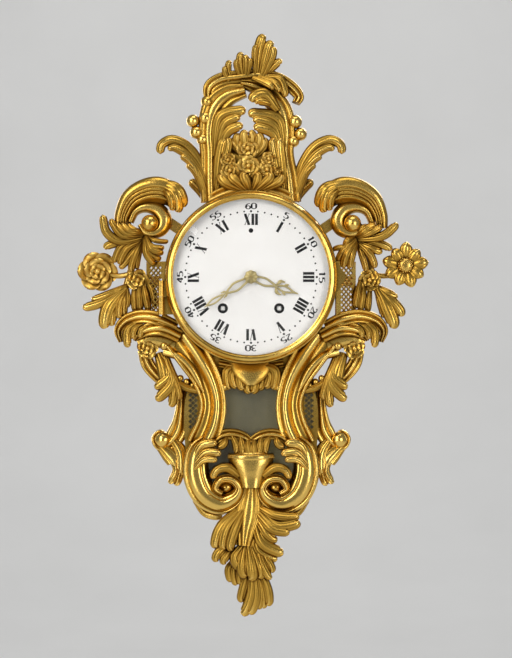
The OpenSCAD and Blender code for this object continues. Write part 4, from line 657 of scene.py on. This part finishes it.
# The leaf that curls out beside each arm of the crest
OUTER_CURL = [
    [[-50, 92, 50, 5], [-56, 122, 50, 6], [-70, 146, 50, 6.4], [-88, 156, 52, 6], [-101, 151, 54, 5.4],
     [-103, 140, 55, 5]],
    [[-50, 92, 51, 5], [-58, 118, 52, 5.4], [-72, 138, 53, 5.4], [-86, 147, 54, 4.6], [-95, 146, 55, 3.6]],
    [[-51, 92, 51, 4], [-59, 116, 53, 5], [-69, 131, 54, 4.6], [-80, 139, 55, 4]],
    [[-52, 90, 50, 4], [-58, 110, 52, 4.6], [-65, 122, 53, 4.2], [-73, 129, 54, 3.6]],
    [[-52, 90, 49, 4], [-57, 104, 50, 4], [-62, 114, 51, 3.4]],
    [[-50, 88, 47, 5], [-58, 100, 46, 6], [-70, 111, 45, 5]],
]


def crest_left_arm(c):
    c.band([[-46, 86, 52, 11], [-47, 114, 50, 11], [-47, 142, 48, 11.5], [-48, 168, 48, 12],
            [-42, 192, 48, 14.5], [-28, 207, 48, 13], [-7, 213, 50, 8]], 8, ARM_FORM, points=56)
    for rows in OUTER_CURL:
        c.finger(rows, 4.5)
    c.fan([[-42, 138, -36, 180, -7, 191, 7], [-40, 140, -31, 172, -14, 183, 6],
           [-37, 142, -27, 164, -11, 173, 6], [-40, 96, -36, 130, -31, 158, 7],
           [-38, 100, -31, 128, -24, 158, 5.5]], (51, 54, 55), 4.2)
    for x, y, r in ((-50, 200, 7), (-52, 181, 8), (-66, 178, 7.5), (-62, 165, 7.5), (-55, 157, 7)):
        c.berry(x, y, 48, r)


def crest_right_arm(c):
    c.band([[46, 86, 52, 11], [43, 114, 50, 10.5], [38, 142, 48, 10.5], [39, 166, 48, 11.5],
            [34, 189, 48, 13], [22, 206, 48, 12], [6, 216, 48, 8.5], [-12, 221, 50, 4]],
           8, ARM_FORM, points=56)
    for rows in OUTER_CURL:
        c.finger(mirrored(rows), 4.5)
    c.fan([[38, 140, 31, 178, -3, 188, 7], [36, 142, 27, 170, 3, 181, 6], [33, 144, 25, 163, 4, 172, 6],
           [38, 96, 34, 128, 31, 158, 7], [36, 100, 29, 126, 23, 158, 5.5]], (51, 54, 55), 4.2)
    c.fan([[30, 190, 16, 206, 0, 203, 8], [24, 196, 14, 199, 6, 200, 5]], (54, 58, 58), 5)
    for x, y, r in ((50, 177, 8), (56, 163, 7.5), (48, 155, 7)):
        c.berry(x, y, 48, r)


def crest_bouquet(c):
    c.band([[-46, 88, 54, 8], [-24, 97, 56, 9], [0, 100, 57, 9], [24, 97, 56, 9], [46, 88, 54, 8]],
           7, REED_FORM)
    c.band([[0, 94, 49, 33], [0, 118, 49, 35], [0, 140, 49, 29], [0, 157, 48, 17]], 5, ROUND_FORM)
    c.fan([[-8, 97, -27, 106, -36, 114, 6], [-5, 98, -17, 109, -24, 116, 6], [-2, 99, -6, 109, -9, 117, 6],
           [2, 99, 7, 109, 8, 117, 6], [5, 98, 18, 109, 23, 116, 6], [8, 97, 27, 106, 36, 114, 6]],
          (58, 61, 58), 5)
    c.fan([[-4, 132, -17, 148, -23, 155, 6], [-4, 134, -14, 152, -16, 161, 6], [-3, 134, -7, 152, -8, 165, 6],
           [-2, 134, 1, 152, 1, 165, 6], [-1, 134, 8, 150, 10, 162, 6], [-1, 132, 12, 146, 16, 156, 6]],
          (50, 53, 54), 4.5)
    c.flower(-4, 146, 56, 13, 6, 8, 0)
    for x, y, r in ((-26, 133, 9), (20, 134, 9), (-24, 121, 11), (-3, 126, 13), (18, 122, 11), (-9, 114, 8),
                    (30, 119, 7), (8, 113, 8)):
        c.flower(x, y, 59, r, 5, 6.5, 36 + 5 * x)


def crest_branch(c):
    c.band([[-49, 201, 48, 4], [-47, 216, 48, 7.5], [-34, 225, 48, 8], [-14, 228, 48, 8], [8, 230, 48, 8],
            [28, 227, 49, 7], [45, 217, 50, 7], [54, 206, 52, 6], [51, 198, 54, 4.5]], 6, REED_FORM)
    c.fan([[14, 229, 32, 225, 40, 206, 5], [8, 228, 24, 222, 33, 212, 4.6], [2, 227, 16, 221, 25, 215, 4.4]],
          (50, 53, 54), 4)
    c.fan([[7, 229, 8, 252, 13, 275, 6.4], [11, 229, 17, 250, 22, 267, 6.4], [14, 229, 22, 246, 26, 260, 5],
           [18, 231, 26, 240, 33, 246, 4.6], [5, 229, 4, 248, 5, 263, 4]], (48, 51, 52), 4.2)
    c.fan([[-9, 227, -12, 242, -12, 254, 5], [-6, 227, -6, 240, -6, 251, 4.4],
           [-4, 229, -2, 240, -1, 247, 3.6], [-12, 227, -16, 238, -17, 246, 3.6]], (48, 51, 52), 4)
    c.fan([[-22, 225, -26, 236, -25, 245, 4], [-25, 223, -29, 231, -30, 238, 3.6]], (48, 50, 51), 3.8)


# Left half of the shell over the window
SHELL_FLUTES = [[0, -96, -26, -104, -27, -126, 6], [0, -96, -20, -108, -19, -124, 6],
                [0, -96, -12, -110, -11, -126, 6], [0, -96, -4, -112, -4, -130, 6]]


def window_shell(c):
    c.fan(SHELL_FLUTES + mirrored_flutes(SHELL_FLUTES[::-1]), (58, 61, 60), 5)
    c.band([[0, -97, 63, 25], [0, -107, 66.5, 21], [0, -115, 67.5, 15], [0, -121, 67, 7]], 5, ROUND_FORM)
    c.band([[-36, -97, 60, 5], [0, -102, 62, 5], [36, -97, 60, 5]], 6, REED_FORM)
    for side in (-1, 1):
        c.berry(side * 31, -124, 62, 5)


# Left half of the arch under the window
ARCH = [[1, -187, 62, 5], [-9, -180, 63, 6], [-21, -177, 63, 6.5], [-33, -179, 63, 6.5], [-42, -186, 63, 5]]
ARCH_FLUTES = [[-22, -178, -17, -188, -16, -198, 4.5], [-12, -180, -10, -190, -9, -201, 4.5],
               [-4, -184, -3, -193, -3, -204, 4.5], [-28, -180, -30, -187, -36, -192, 4.5]]


def lower_arch(c):
    c.band(ARCH, 6, REED_FORM)
    c.fan(ARCH_FLUTES, (63, 66, 65), 4)
    c.band(mirrored(ARCH), 6, REED_FORM)
    c.fan(mirrored_flutes(ARCH_FLUTES), (63, 66, 65), 4)


def lower_vase(c):
    c.band([[0, -203, 62, 25], [0, -207, 65, 24.5], [0, -216, 65, 20], [0, -226, 64, 16.5],
            [0, -237, 64, 14]], 11, ROUND_FORM, points=40)
    c.band([[-25, -202, 64, 3.4], [-12, -203, 72, 4], [0, -203.5, 74, 4], [12, -203, 72, 4],
            [25, -202, 64, 3.4]], 3.6, ROUND_FORM)
    c.band([[0, -234, 63, 12], [-1, -250, 62.5, 18], [-3, -268, 65, 22], [-6, -286, 67, 17],
            [-8, -303, 69, 11]], 9, FLUTE_FORM, points=72)
    handle = [[-14, -224, 68, 5], [-26, -215, 70, 5.5], [-38, -217, 71, 5], [-44, -227, 71, 4]]
    for rows in (handle, mirrored(handle)):
        c.finger(rows, 4.5)


def bottom_spray(c):
    c.fan([[-10, -258, -32, -280, -42, -304, 7], [-9, -260, -26, -282, -33, -306, 6.5],
           [-8, -262, -18, -284, -25, -307, 6], [-22, -300, -34, -308, -41, -318, 6],
           [-20, -304, -28, -314, -32, -321, 5]], (62, 70, 70), 5)
    c.fan([[6, -258, 26, -268, 54, -271, 5.5], [6, -262, 28, -280, 55, -278, 6.5],
           [6, -266, 22, -282, 42, -288, 6], [5, -270, 16, -286, 27, -297, 6.5],
           [4, -276, 12, -298, 35, -312, 7], [4, -284, 8, -306, 28, -319, 6],
           [8, -300, 18, -318, 25, -331, 5], [6, -302, 12, -322, 21, -340, 5]], (62, 70, 69), 5)
    c.fan([[-6, -298, -18, -314, -14, -328, 6], [-6, -298, -10, -322, -8, -337, 6.5],
           [-4, -298, 0, -324, 2, -340, 7], [-2, -298, 8, -322, 12, -338, 6.5]], (64, 72, 70), 5)


def tail_leaf(c):
    c.fan([[-10, -314, -24, -327, -24, -343, 5], [-9, -316, -19, -330, -18, -347, 4.6],
           [-8, -318, -13, -332, -13, -346, 4]], (61, 64, 62), 4.2)
    c.fan([[-2, -326, -8, -348, -12, -366, 5.4], [0, -326, 1, -355, -8, -382, 6.5],
           [3, -326, 6, -357, 0, -380, 6], [6, -326, 11, -354, 9, -374, 5.4],
           [9, -326, 18, -350, 21, -370, 5.6], [6, -326, 13, -354, 15, -373, 5]], (65, 66, 62), 4.6)


pair(pilaster, gilt_smooth)
pair(lower_scroll, gilt_smooth)
pair(side_volute, gilt_smooth)
pair(shoulder_leaf)
pair(waist_leaf)
pair(wing_scroll)
single(left_wing_leaves)
single(right_wing_leaves, mirror=True)
single(rose_spray, gilt_matt)
single(sunflower_spray, mirror=True)
single(crest_left_arm)
single(crest_right_arm)
single(crest_bouquet, gilt_matt)
single(crest_branch)
single(window_shell)
single(lower_arch)
single(lower_vase)
single(bottom_spray)
single(tail_leaf)

# Dial: hours in Roman figures, minutes in Arabic figures and dots, all with their feet to the middle

# Level of the domed dial at its edge, its rise to the middle, and its radius
DIAL_Z, DIAL_RISE, DIAL_R = 87.8, 3.0, 91.0
# Circles that the hours, the dots and the minutes stand on, and the height of the figures
HOUR_R, DOT_R, MINUTE_R = 64.5, 73.6, 79.4
HOUR_HEIGHT, MINUTE_HEIGHT = 12.2, 6.6
# How far the figures and the rings of the holes stand up from the enamel
INK_TOP, RING_TOP = 0.09, 0.1
# Half widths of the lines of an hour: broad stroke, thin stroke of V and X, and serif
BROAD, THIN_V, THIN_X, SERIF = 1.5, 0.34, 0.3, 0.22
# A minute figure's width to its height, its step and gap, and the half widths of level and upright lines
DIGIT_WIDTH, DIGIT_STEP, DIGIT_GAP = 1.5, 0.66, 0.03
LEVEL_LINE, UPRIGHT_MORE = 0.34, 0.72
# Half size of a minute's dot and of a fifth minute's, and half widths up a dot as shares of that
DOT, FIFTH_DOT = 1.0, 1.3
DOT_FORM = ((-1, 0.3), (-0.5, 0.86), (0, 1), (0.5, 0.86), (1, 0.3))
# Winding holes: place, radii of the ring on the dial, and radii and level of the black ring inside it, which
# is painted shade in the hole
WINDING_X, WINDING_Y = 31.5, -35
WINDING_RING, WINDING_SHADE_RING, SHADE_RING_Z = (4.8, 5.7), (3.1, 4.95), 89.2
# Small hole under the twelve: place, radii of its ring, and the levels of the black disc in it, which is
# painted shade in the hole
SMALL_HOLE_Y, SMALL_HOLE_RING = 52, (1.9, 2.6)
DISC_BACK, DISC_FRONT = 86.2, 88.4

ROMAN = ("XII", "I", "II", "III", "IIII", "V", "VI", "VII", "VIII", "IX", "X", "XI")
# Step to the next letter, and lines from x, y to x, y with a half width; y is 0 at the foot and 1 at the head
LETTERS = {
    "I": (4.1, [(2.05, 0, 2.05, 1, BROAD), (0.35, 0, 3.75, 0, SERIF), (0.35, 1, 3.75, 1, SERIF)]),
    "V": (7.6, [(1.6, 1, 3.8, 0, BROAD), (6.4, 1, 3.9, 0, THIN_V), (0.2, 1, 3, 1, SERIF),
                (5.2, 1, 7.2, 1, SERIF)]),
    "X": (8.2, [(1.6, 1, 6, 0, BROAD), (6.2, 1, 1.4, 0, THIN_X), (0.2, 1, 3, 1, SERIF),
                (4.6, 0, 7.4, 0, SERIF), (5.2, 1, 7.2, 1, SERIF), (0.4, 0, 2.4, 0, SERIF)]),
}
# Curves of each digit in a box of 1 by 1
DIGITS = {
    "0": [[(0.3, 0), (0.07, 0.2), (0.05, 0.5), (0.07, 0.8), (0.3, 1), (0.53, 0.8), (0.55, 0.5), (0.53, 0.2),
           (0.3, 0)]],
    "1": [[(0.14, 0.84), (0.3, 1), (0.3, 0.5), (0.3, 0)]],
    "2": [[(0.06, 0.78), (0.16, 0.97), (0.4, 0.97), (0.52, 0.76), (0.4, 0.48), (0.16, 0.2), (0.05, 0.04)],
          [(0.04, 0.05), (0.3, 0.05), (0.56, 0.08)]],
    "3": [[(0.06, 0.86), (0.26, 1), (0.48, 0.84), (0.42, 0.62), (0.24, 0.54), (0.46, 0.46), (0.53, 0.24),
           (0.3, 0), (0.05, 0.13)]],
    "4": [[(0.42, 0), (0.42, 0.5), (0.42, 1)], [(0.42, 1), (0.22, 0.66), (0.03, 0.3)],
          [(0.03, 0.3), (0.3, 0.3), (0.58, 0.3)]],
    "5": [[(0.5, 0.96), (0.3, 0.97), (0.12, 0.96)], [(0.12, 0.96), (0.11, 0.76), (0.09, 0.54)],
          [(0.09, 0.54), (0.3, 0.62), (0.53, 0.44), (0.5, 0.14), (0.26, 0), (0.05, 0.12)]],
    "6": [[(0.5, 0.95), (0.24, 0.84), (0.08, 0.52), (0.08, 0.2), (0.3, 0), (0.52, 0.16), (0.5, 0.42),
           (0.3, 0.54), (0.1, 0.38)]],
}


def dial_level(r):
    """The face of the dial at a radius."""
    return DIAL_Z + DIAL_RISE * (1 - (r / DIAL_R) ** 2)


def on_dial(points, radius, degrees):
    """Points drawn upright about a foot line, set at a radius with their feet to the middle."""
    ca, sa = math.cos(math.radians(degrees)), math.sin(math.radians(degrees))
    return [(x * ca + (y + radius) * sa, -x * sa + (y + radius) * ca) for x, y in points]


def roman(c, text, degrees):
    """An hour, centred on its place."""
    x = -sum(LETTERS[letter][0] for letter in text) / 2
    for letter in text:
        step, lines = LETTERS[letter]
        for x0, y0, x1, y1, w in lines:
            a = (x + x0, (y0 - 0.5) * HOUR_HEIGHT)
            b = (x + x1, (y1 - 0.5) * HOUR_HEIGHT)
            middle = ((a[0] + b[0]) / 2, (a[1] + b[1]) / 2)
            c.stroke(on_dial([a, middle, b], HOUR_R, degrees), [w] * 3, dial_level, INK_TOP)
        x += step


def arabic(c, text, degrees):
    """A minute figure, drawn wider than high."""
    broad = DIGIT_WIDTH * MINUTE_HEIGHT
    step = DIGIT_STEP * broad
    for k, digit in enumerate(text):
        left = (k - len(text) / 2) * step + DIGIT_GAP * broad
        for line in DIGITS[digit]:
            q = spline(line, np.linspace(0, 1, 6 * (len(line) - 1) + 1)) * (broad, MINUTE_HEIGHT)
            slope = np.abs(unit(np.gradient(q, axis=0))[:, 1])
            path = on_dial([(x + left, y - MINUTE_HEIGHT / 2) for x, y in q], MINUTE_R, degrees)
            c.stroke(path, LEVEL_LINE + UPRIGHT_MORE * slope**2, dial_level, INK_TOP)


def dot(c, size, degrees):
    """A lozenge with round sides."""
    path = on_dial([(0, size * y) for y, _ in DOT_FORM], DOT_R, degrees)
    c.stroke(path, [size * w for _, w in DOT_FORM], dial_level, INK_TOP)


def ring(c, x, y, radii, level):
    """A flat ring round a hole in the dial."""
    inner, outer = radii
    middle = (inner + outer) / 2
    path = [(x + middle * math.cos(t), y + middle * math.sin(t)) for t in np.linspace(0, 2 * math.pi, 49)]
    c.stroke(path, [(outer - inner) / 2] * len(path), level, RING_TOP)


figures = Casting()
for hour, text in enumerate(ROMAN):
    roman(figures, text, 30 * hour)
    arabic(figures, str(5 * (hour or 12)), 30 * hour)
for minute in range(60):
    dot(figures, DOT if minute % 5 else FIFTH_DOT, 6 * minute)
for x in (-WINDING_X, WINDING_X):
    ring(figures, x, WINDING_Y, WINDING_RING, dial_level)
    ring(figures, x, WINDING_Y, WINDING_SHADE_RING, lambda r: SHADE_RING_Z)
ring(figures, 0, SMALL_HOLE_Y, SMALL_HOLE_RING, dial_level)
disc_r = SMALL_HOLE_RING[0]
disc = [[0.1, DISC_BACK], [disc_r, DISC_BACK], [disc_r, DISC_FRONT], [0.1, DISC_FRONT]]
figures.lathe(0, SMALL_HOLE_Y, disc)
figures.piece("dial_figures", black, "case", sharp=30)

# Hands, drawn pointing up and turned to the time

# Time shown, in minutes after twelve
SHOWN = 219.5
# Levels of the hands, thickness of their ribs and points round them, and the ribs' width to the width given
HOUR_Z, MINUTE_Z = 92.2, 94.6
RIB_THICK, RIB_POINTS, RIB_WIDER = 0.9, 14, 1.35
# Leaves on the hands: lobes, thickness, depth of the cuts, and height over the ribs
HAND_LEAF, LEAF_OVER_RIB = (2, 1, 0.25), 0.3
# Ripples round the hands' bosses: sectors, depth and count
HOUR_RIPPLE, MINUTE_RIPPLE = (40, 0.05, 10), (40, 0.06, 8)


def turned(rows, degrees):
    """Rows turned clockwise about the dial's axis."""
    ca, sa = math.cos(math.radians(degrees)), math.sin(math.radians(degrees))
    return [[x * ca + y * sa, y * ca - x * sa, z, w] for x, y, z, w in rows]


def hand(c, z, degrees, ribs, leaves, bar):
    """Ribs and leaves of [x, y, half width] rows on both sides, and a bar of [y, half width] rows."""
    for rows in ribs:
        for sign in (1, -1):
            rib = turned([[sign * x, y, z, RIB_WIDER * w] for x, y, w in rows], degrees)
            c.band(rib, RIB_THICK, ROUND_FORM, points=RIB_POINTS)
    for rows in leaves:
        for sign in (1, -1):
            leaf = turned([[sign * x, y, z + LEAF_OVER_RIB, w] for x, y, w in rows], degrees)
            c.leaf(leaf, *HAND_LEAF)
    c.band(turned([[0, y, z, w] for y, w in bar], degrees), RIB_THICK, ROUND_FORM, points=RIB_POINTS)


hour_hand = Casting()
hand(hour_hand, HOUR_Z, SHOWN / 2,
     [[(2.2, 4, 1.1), (3.6, 11, 0.9), (4, 17, 0.9), (2.4, 23, 0.9), (0.7, 28, 0.9)],
      [(0.4, 27, 0.8), (1.6, 33, 0.8), (3.2, 39, 0.8), (2.2, 45, 0.8), (0.4, 50, 0.8)]],
     [[(0.6, 28, 1), (3.4, 31, 2), (6.6, 33, 1.8), (7.4, 38, 0.8)],
      [(1.4, 36, 0.8), (4.4, 40, 1.6), (6.2, 43, 0.7)]],
     [(48, 1.2), (52, 1.1), (56, 0.5)])
hour_hand.lathe(0, 0, [[6.6, 91.6], [7, 92.2], [6.4, 92.8], [3.7, 92.9]], *HOUR_RIPPLE)
hour_hand.piece("hour_hand_chased", gilt_hand, "hour", "hour_hand", sharp=50)
minute_hand = Casting()
hand(minute_hand, MINUTE_Z, 6 * (SHOWN % 60),
     [[(2, 4, 1.1), (3, 11, 0.9), (4.4, 20, 0.9), (2.6, 27, 0.85), (0.6, 32, 0.85)],
      [(0.5, 37, 0.8), (1.6, 42, 0.75), (2.6, 49, 0.75), (1.4, 55, 0.7), (0.3, 59, 0.7)]],
     [[(0.4, 31, 0.8), (2.2, 34, 1.2), (3.2, 38, 0.6)]],
     [(30, 1.2), (34, 1), (39, 1)])
hand(minute_hand, MINUTE_Z, 6 * (SHOWN % 60), [], [], [(57, 0.9), (60, 0.7), (62, 0.35)])
minute_hand.lathe(0, 0, [[5.6, 94], [6.2, 94.6], [7, 95.3], [7.4, 95.8], [6.4, 96.6], [4.6, 97.2], [3, 97.6],
                         [1.4, 97.6]], *MINUTE_RIPPLE)
minute_hand.piece("minute_hand_chased", gilt_hand, "minute", "minute_hand", sharp=50)

# Stage, light and camera, in metres in the row frame

CLOCK_MIDDLE, BACKDROP_MIDDLE = (0.0, -0.05, -0.05), (0, 6.5, 0.2)
WORLD_COLOUR, WORLD_STRENGTH = (0.92, 0.95, 1.0, 1), 0.24
# The photograph's size and the middle of its dial in pixels, and its scale
PHOTO_WIDTH, PHOTO_HEIGHT = 512, 658
DIAL_PIXEL_X, DIAL_PIXEL_Y = 251, 277
MM_PER_PIXEL = 1.12
# The camera's distance from the dial, the dial's from the wall, and the width of the sensor in millimetres
DISTANCE, DIAL_OUT, SENSOR = 3.0, 0.09, 36.0


def studio():
    """A pale floor that curves up into a backdrop far behind the clock."""
    front, back, wide = -9.0, 6.5, 9.0
    floor, top = -0.95, 7.0
    bend, steps = 2.5, 12
    outline = [(front, floor), (back - bend, floor)]
    for k in range(1, steps + 1):
        a = math.pi / 2 * k / steps
        outline.append((back - bend + bend * math.sin(a), floor + bend * (1 - math.cos(a))))
    outline.append((back, top))
    verts = [(x, y, z) for y, z in outline for x in (-wide, wide)]
    faces = [(2 * k, 2 * k + 1, 2 * k + 3, 2 * k + 2) for k in range(len(outline) - 1)]
    mesh = bpy.data.meshes.new("studio_sweep")
    mesh.from_pydata(verts, [], faces)
    mesh.shade_smooth()
    f = Finish("studio_paper", Roughness=0.9)
    f.set("Base Color", f.ramp(f.noise(3.0), [(0.3, (0.74, 0.735, 0.72)), (0.7, (0.77, 0.765, 0.75))]))
    mesh.materials.append(f.material)
    obj = bpy.data.objects.new("studio_sweep", mesh)
    scene.collection.objects.link(obj)


def lamp(name, place, size, power, colour=(1, 1, 1), target=CLOCK_MIDDLE):
    """A soft lamp, which isn't itself seen through the glass."""
    data = bpy.data.lights.new(name, "AREA")
    data.shape = "RECTANGLE"
    data.size, data.size_y = size
    data.energy = power
    data.color = colour
    obj = bpy.data.objects.new(name, data)
    obj.visible_transmission = False
    obj.location = place
    obj.rotation_euler = (Vector(target) - Vector(place)).to_track_quat("-Z", "Y").to_euler()
    scene.collection.objects.link(obj)


studio()
lamp("key", (-1.5, -2.2, 1.5), (1.2, 1.2), 27, (1, 0.97, 0.93))
lamp("fill", (1.7, -2.2, 0.1), (0.7, 1.6), 17, (1, 0.98, 0.96))
lamp("side", (-1.7, -2.2, -0.1), (0.7, 1.6), 12.5, (1, 0.98, 0.95))
lamp("top", (0.2, -0.6, 2.2), (1.6, 0.8), 12)
lamp("rim", (0.9, 1.9, 1.2), (1.4, 1.0), 26)
lamp("back", (-1.3, 2.0, 0.2), (1.0, 1.4), 16)
lamp("backdrop", (0, 2.5, 2.6), (3.0, 1.2), 90, target=BACKDROP_MIDDLE)

world = bpy.data.worlds.new("studio")
world.use_nodes = True
background = world.node_tree.nodes["Background"].inputs
background["Color"].default_value = WORLD_COLOUR
background["Strength"].default_value = WORLD_STRENGTH
scene.world = world

lens = bpy.data.cameras.new("camera")
lens.sensor_fit = "AUTO"
lens.sensor_width = SENSOR
lens.lens = SENSOR * DISTANCE / (PHOTO_HEIGHT * MM_PER_PIXEL / MM_PER_M)
right = (PHOTO_WIDTH / 2 - DIAL_PIXEL_X) * MM_PER_PIXEL / MM_PER_M
up = (DIAL_PIXEL_Y - PHOTO_HEIGHT / 2) * MM_PER_PIXEL / MM_PER_M
camera = bpy.data.objects.new("camera", lens)
camera.location = (round(right, 4), -DISTANCE - DIAL_OUT, round(up, 4))
camera.rotation_euler = (math.pi / 2, 0, 0)
scene.collection.objects.link(camera)
bpy.context.scene.camera = camera
scene.view_settings.view_transform = "Standard"
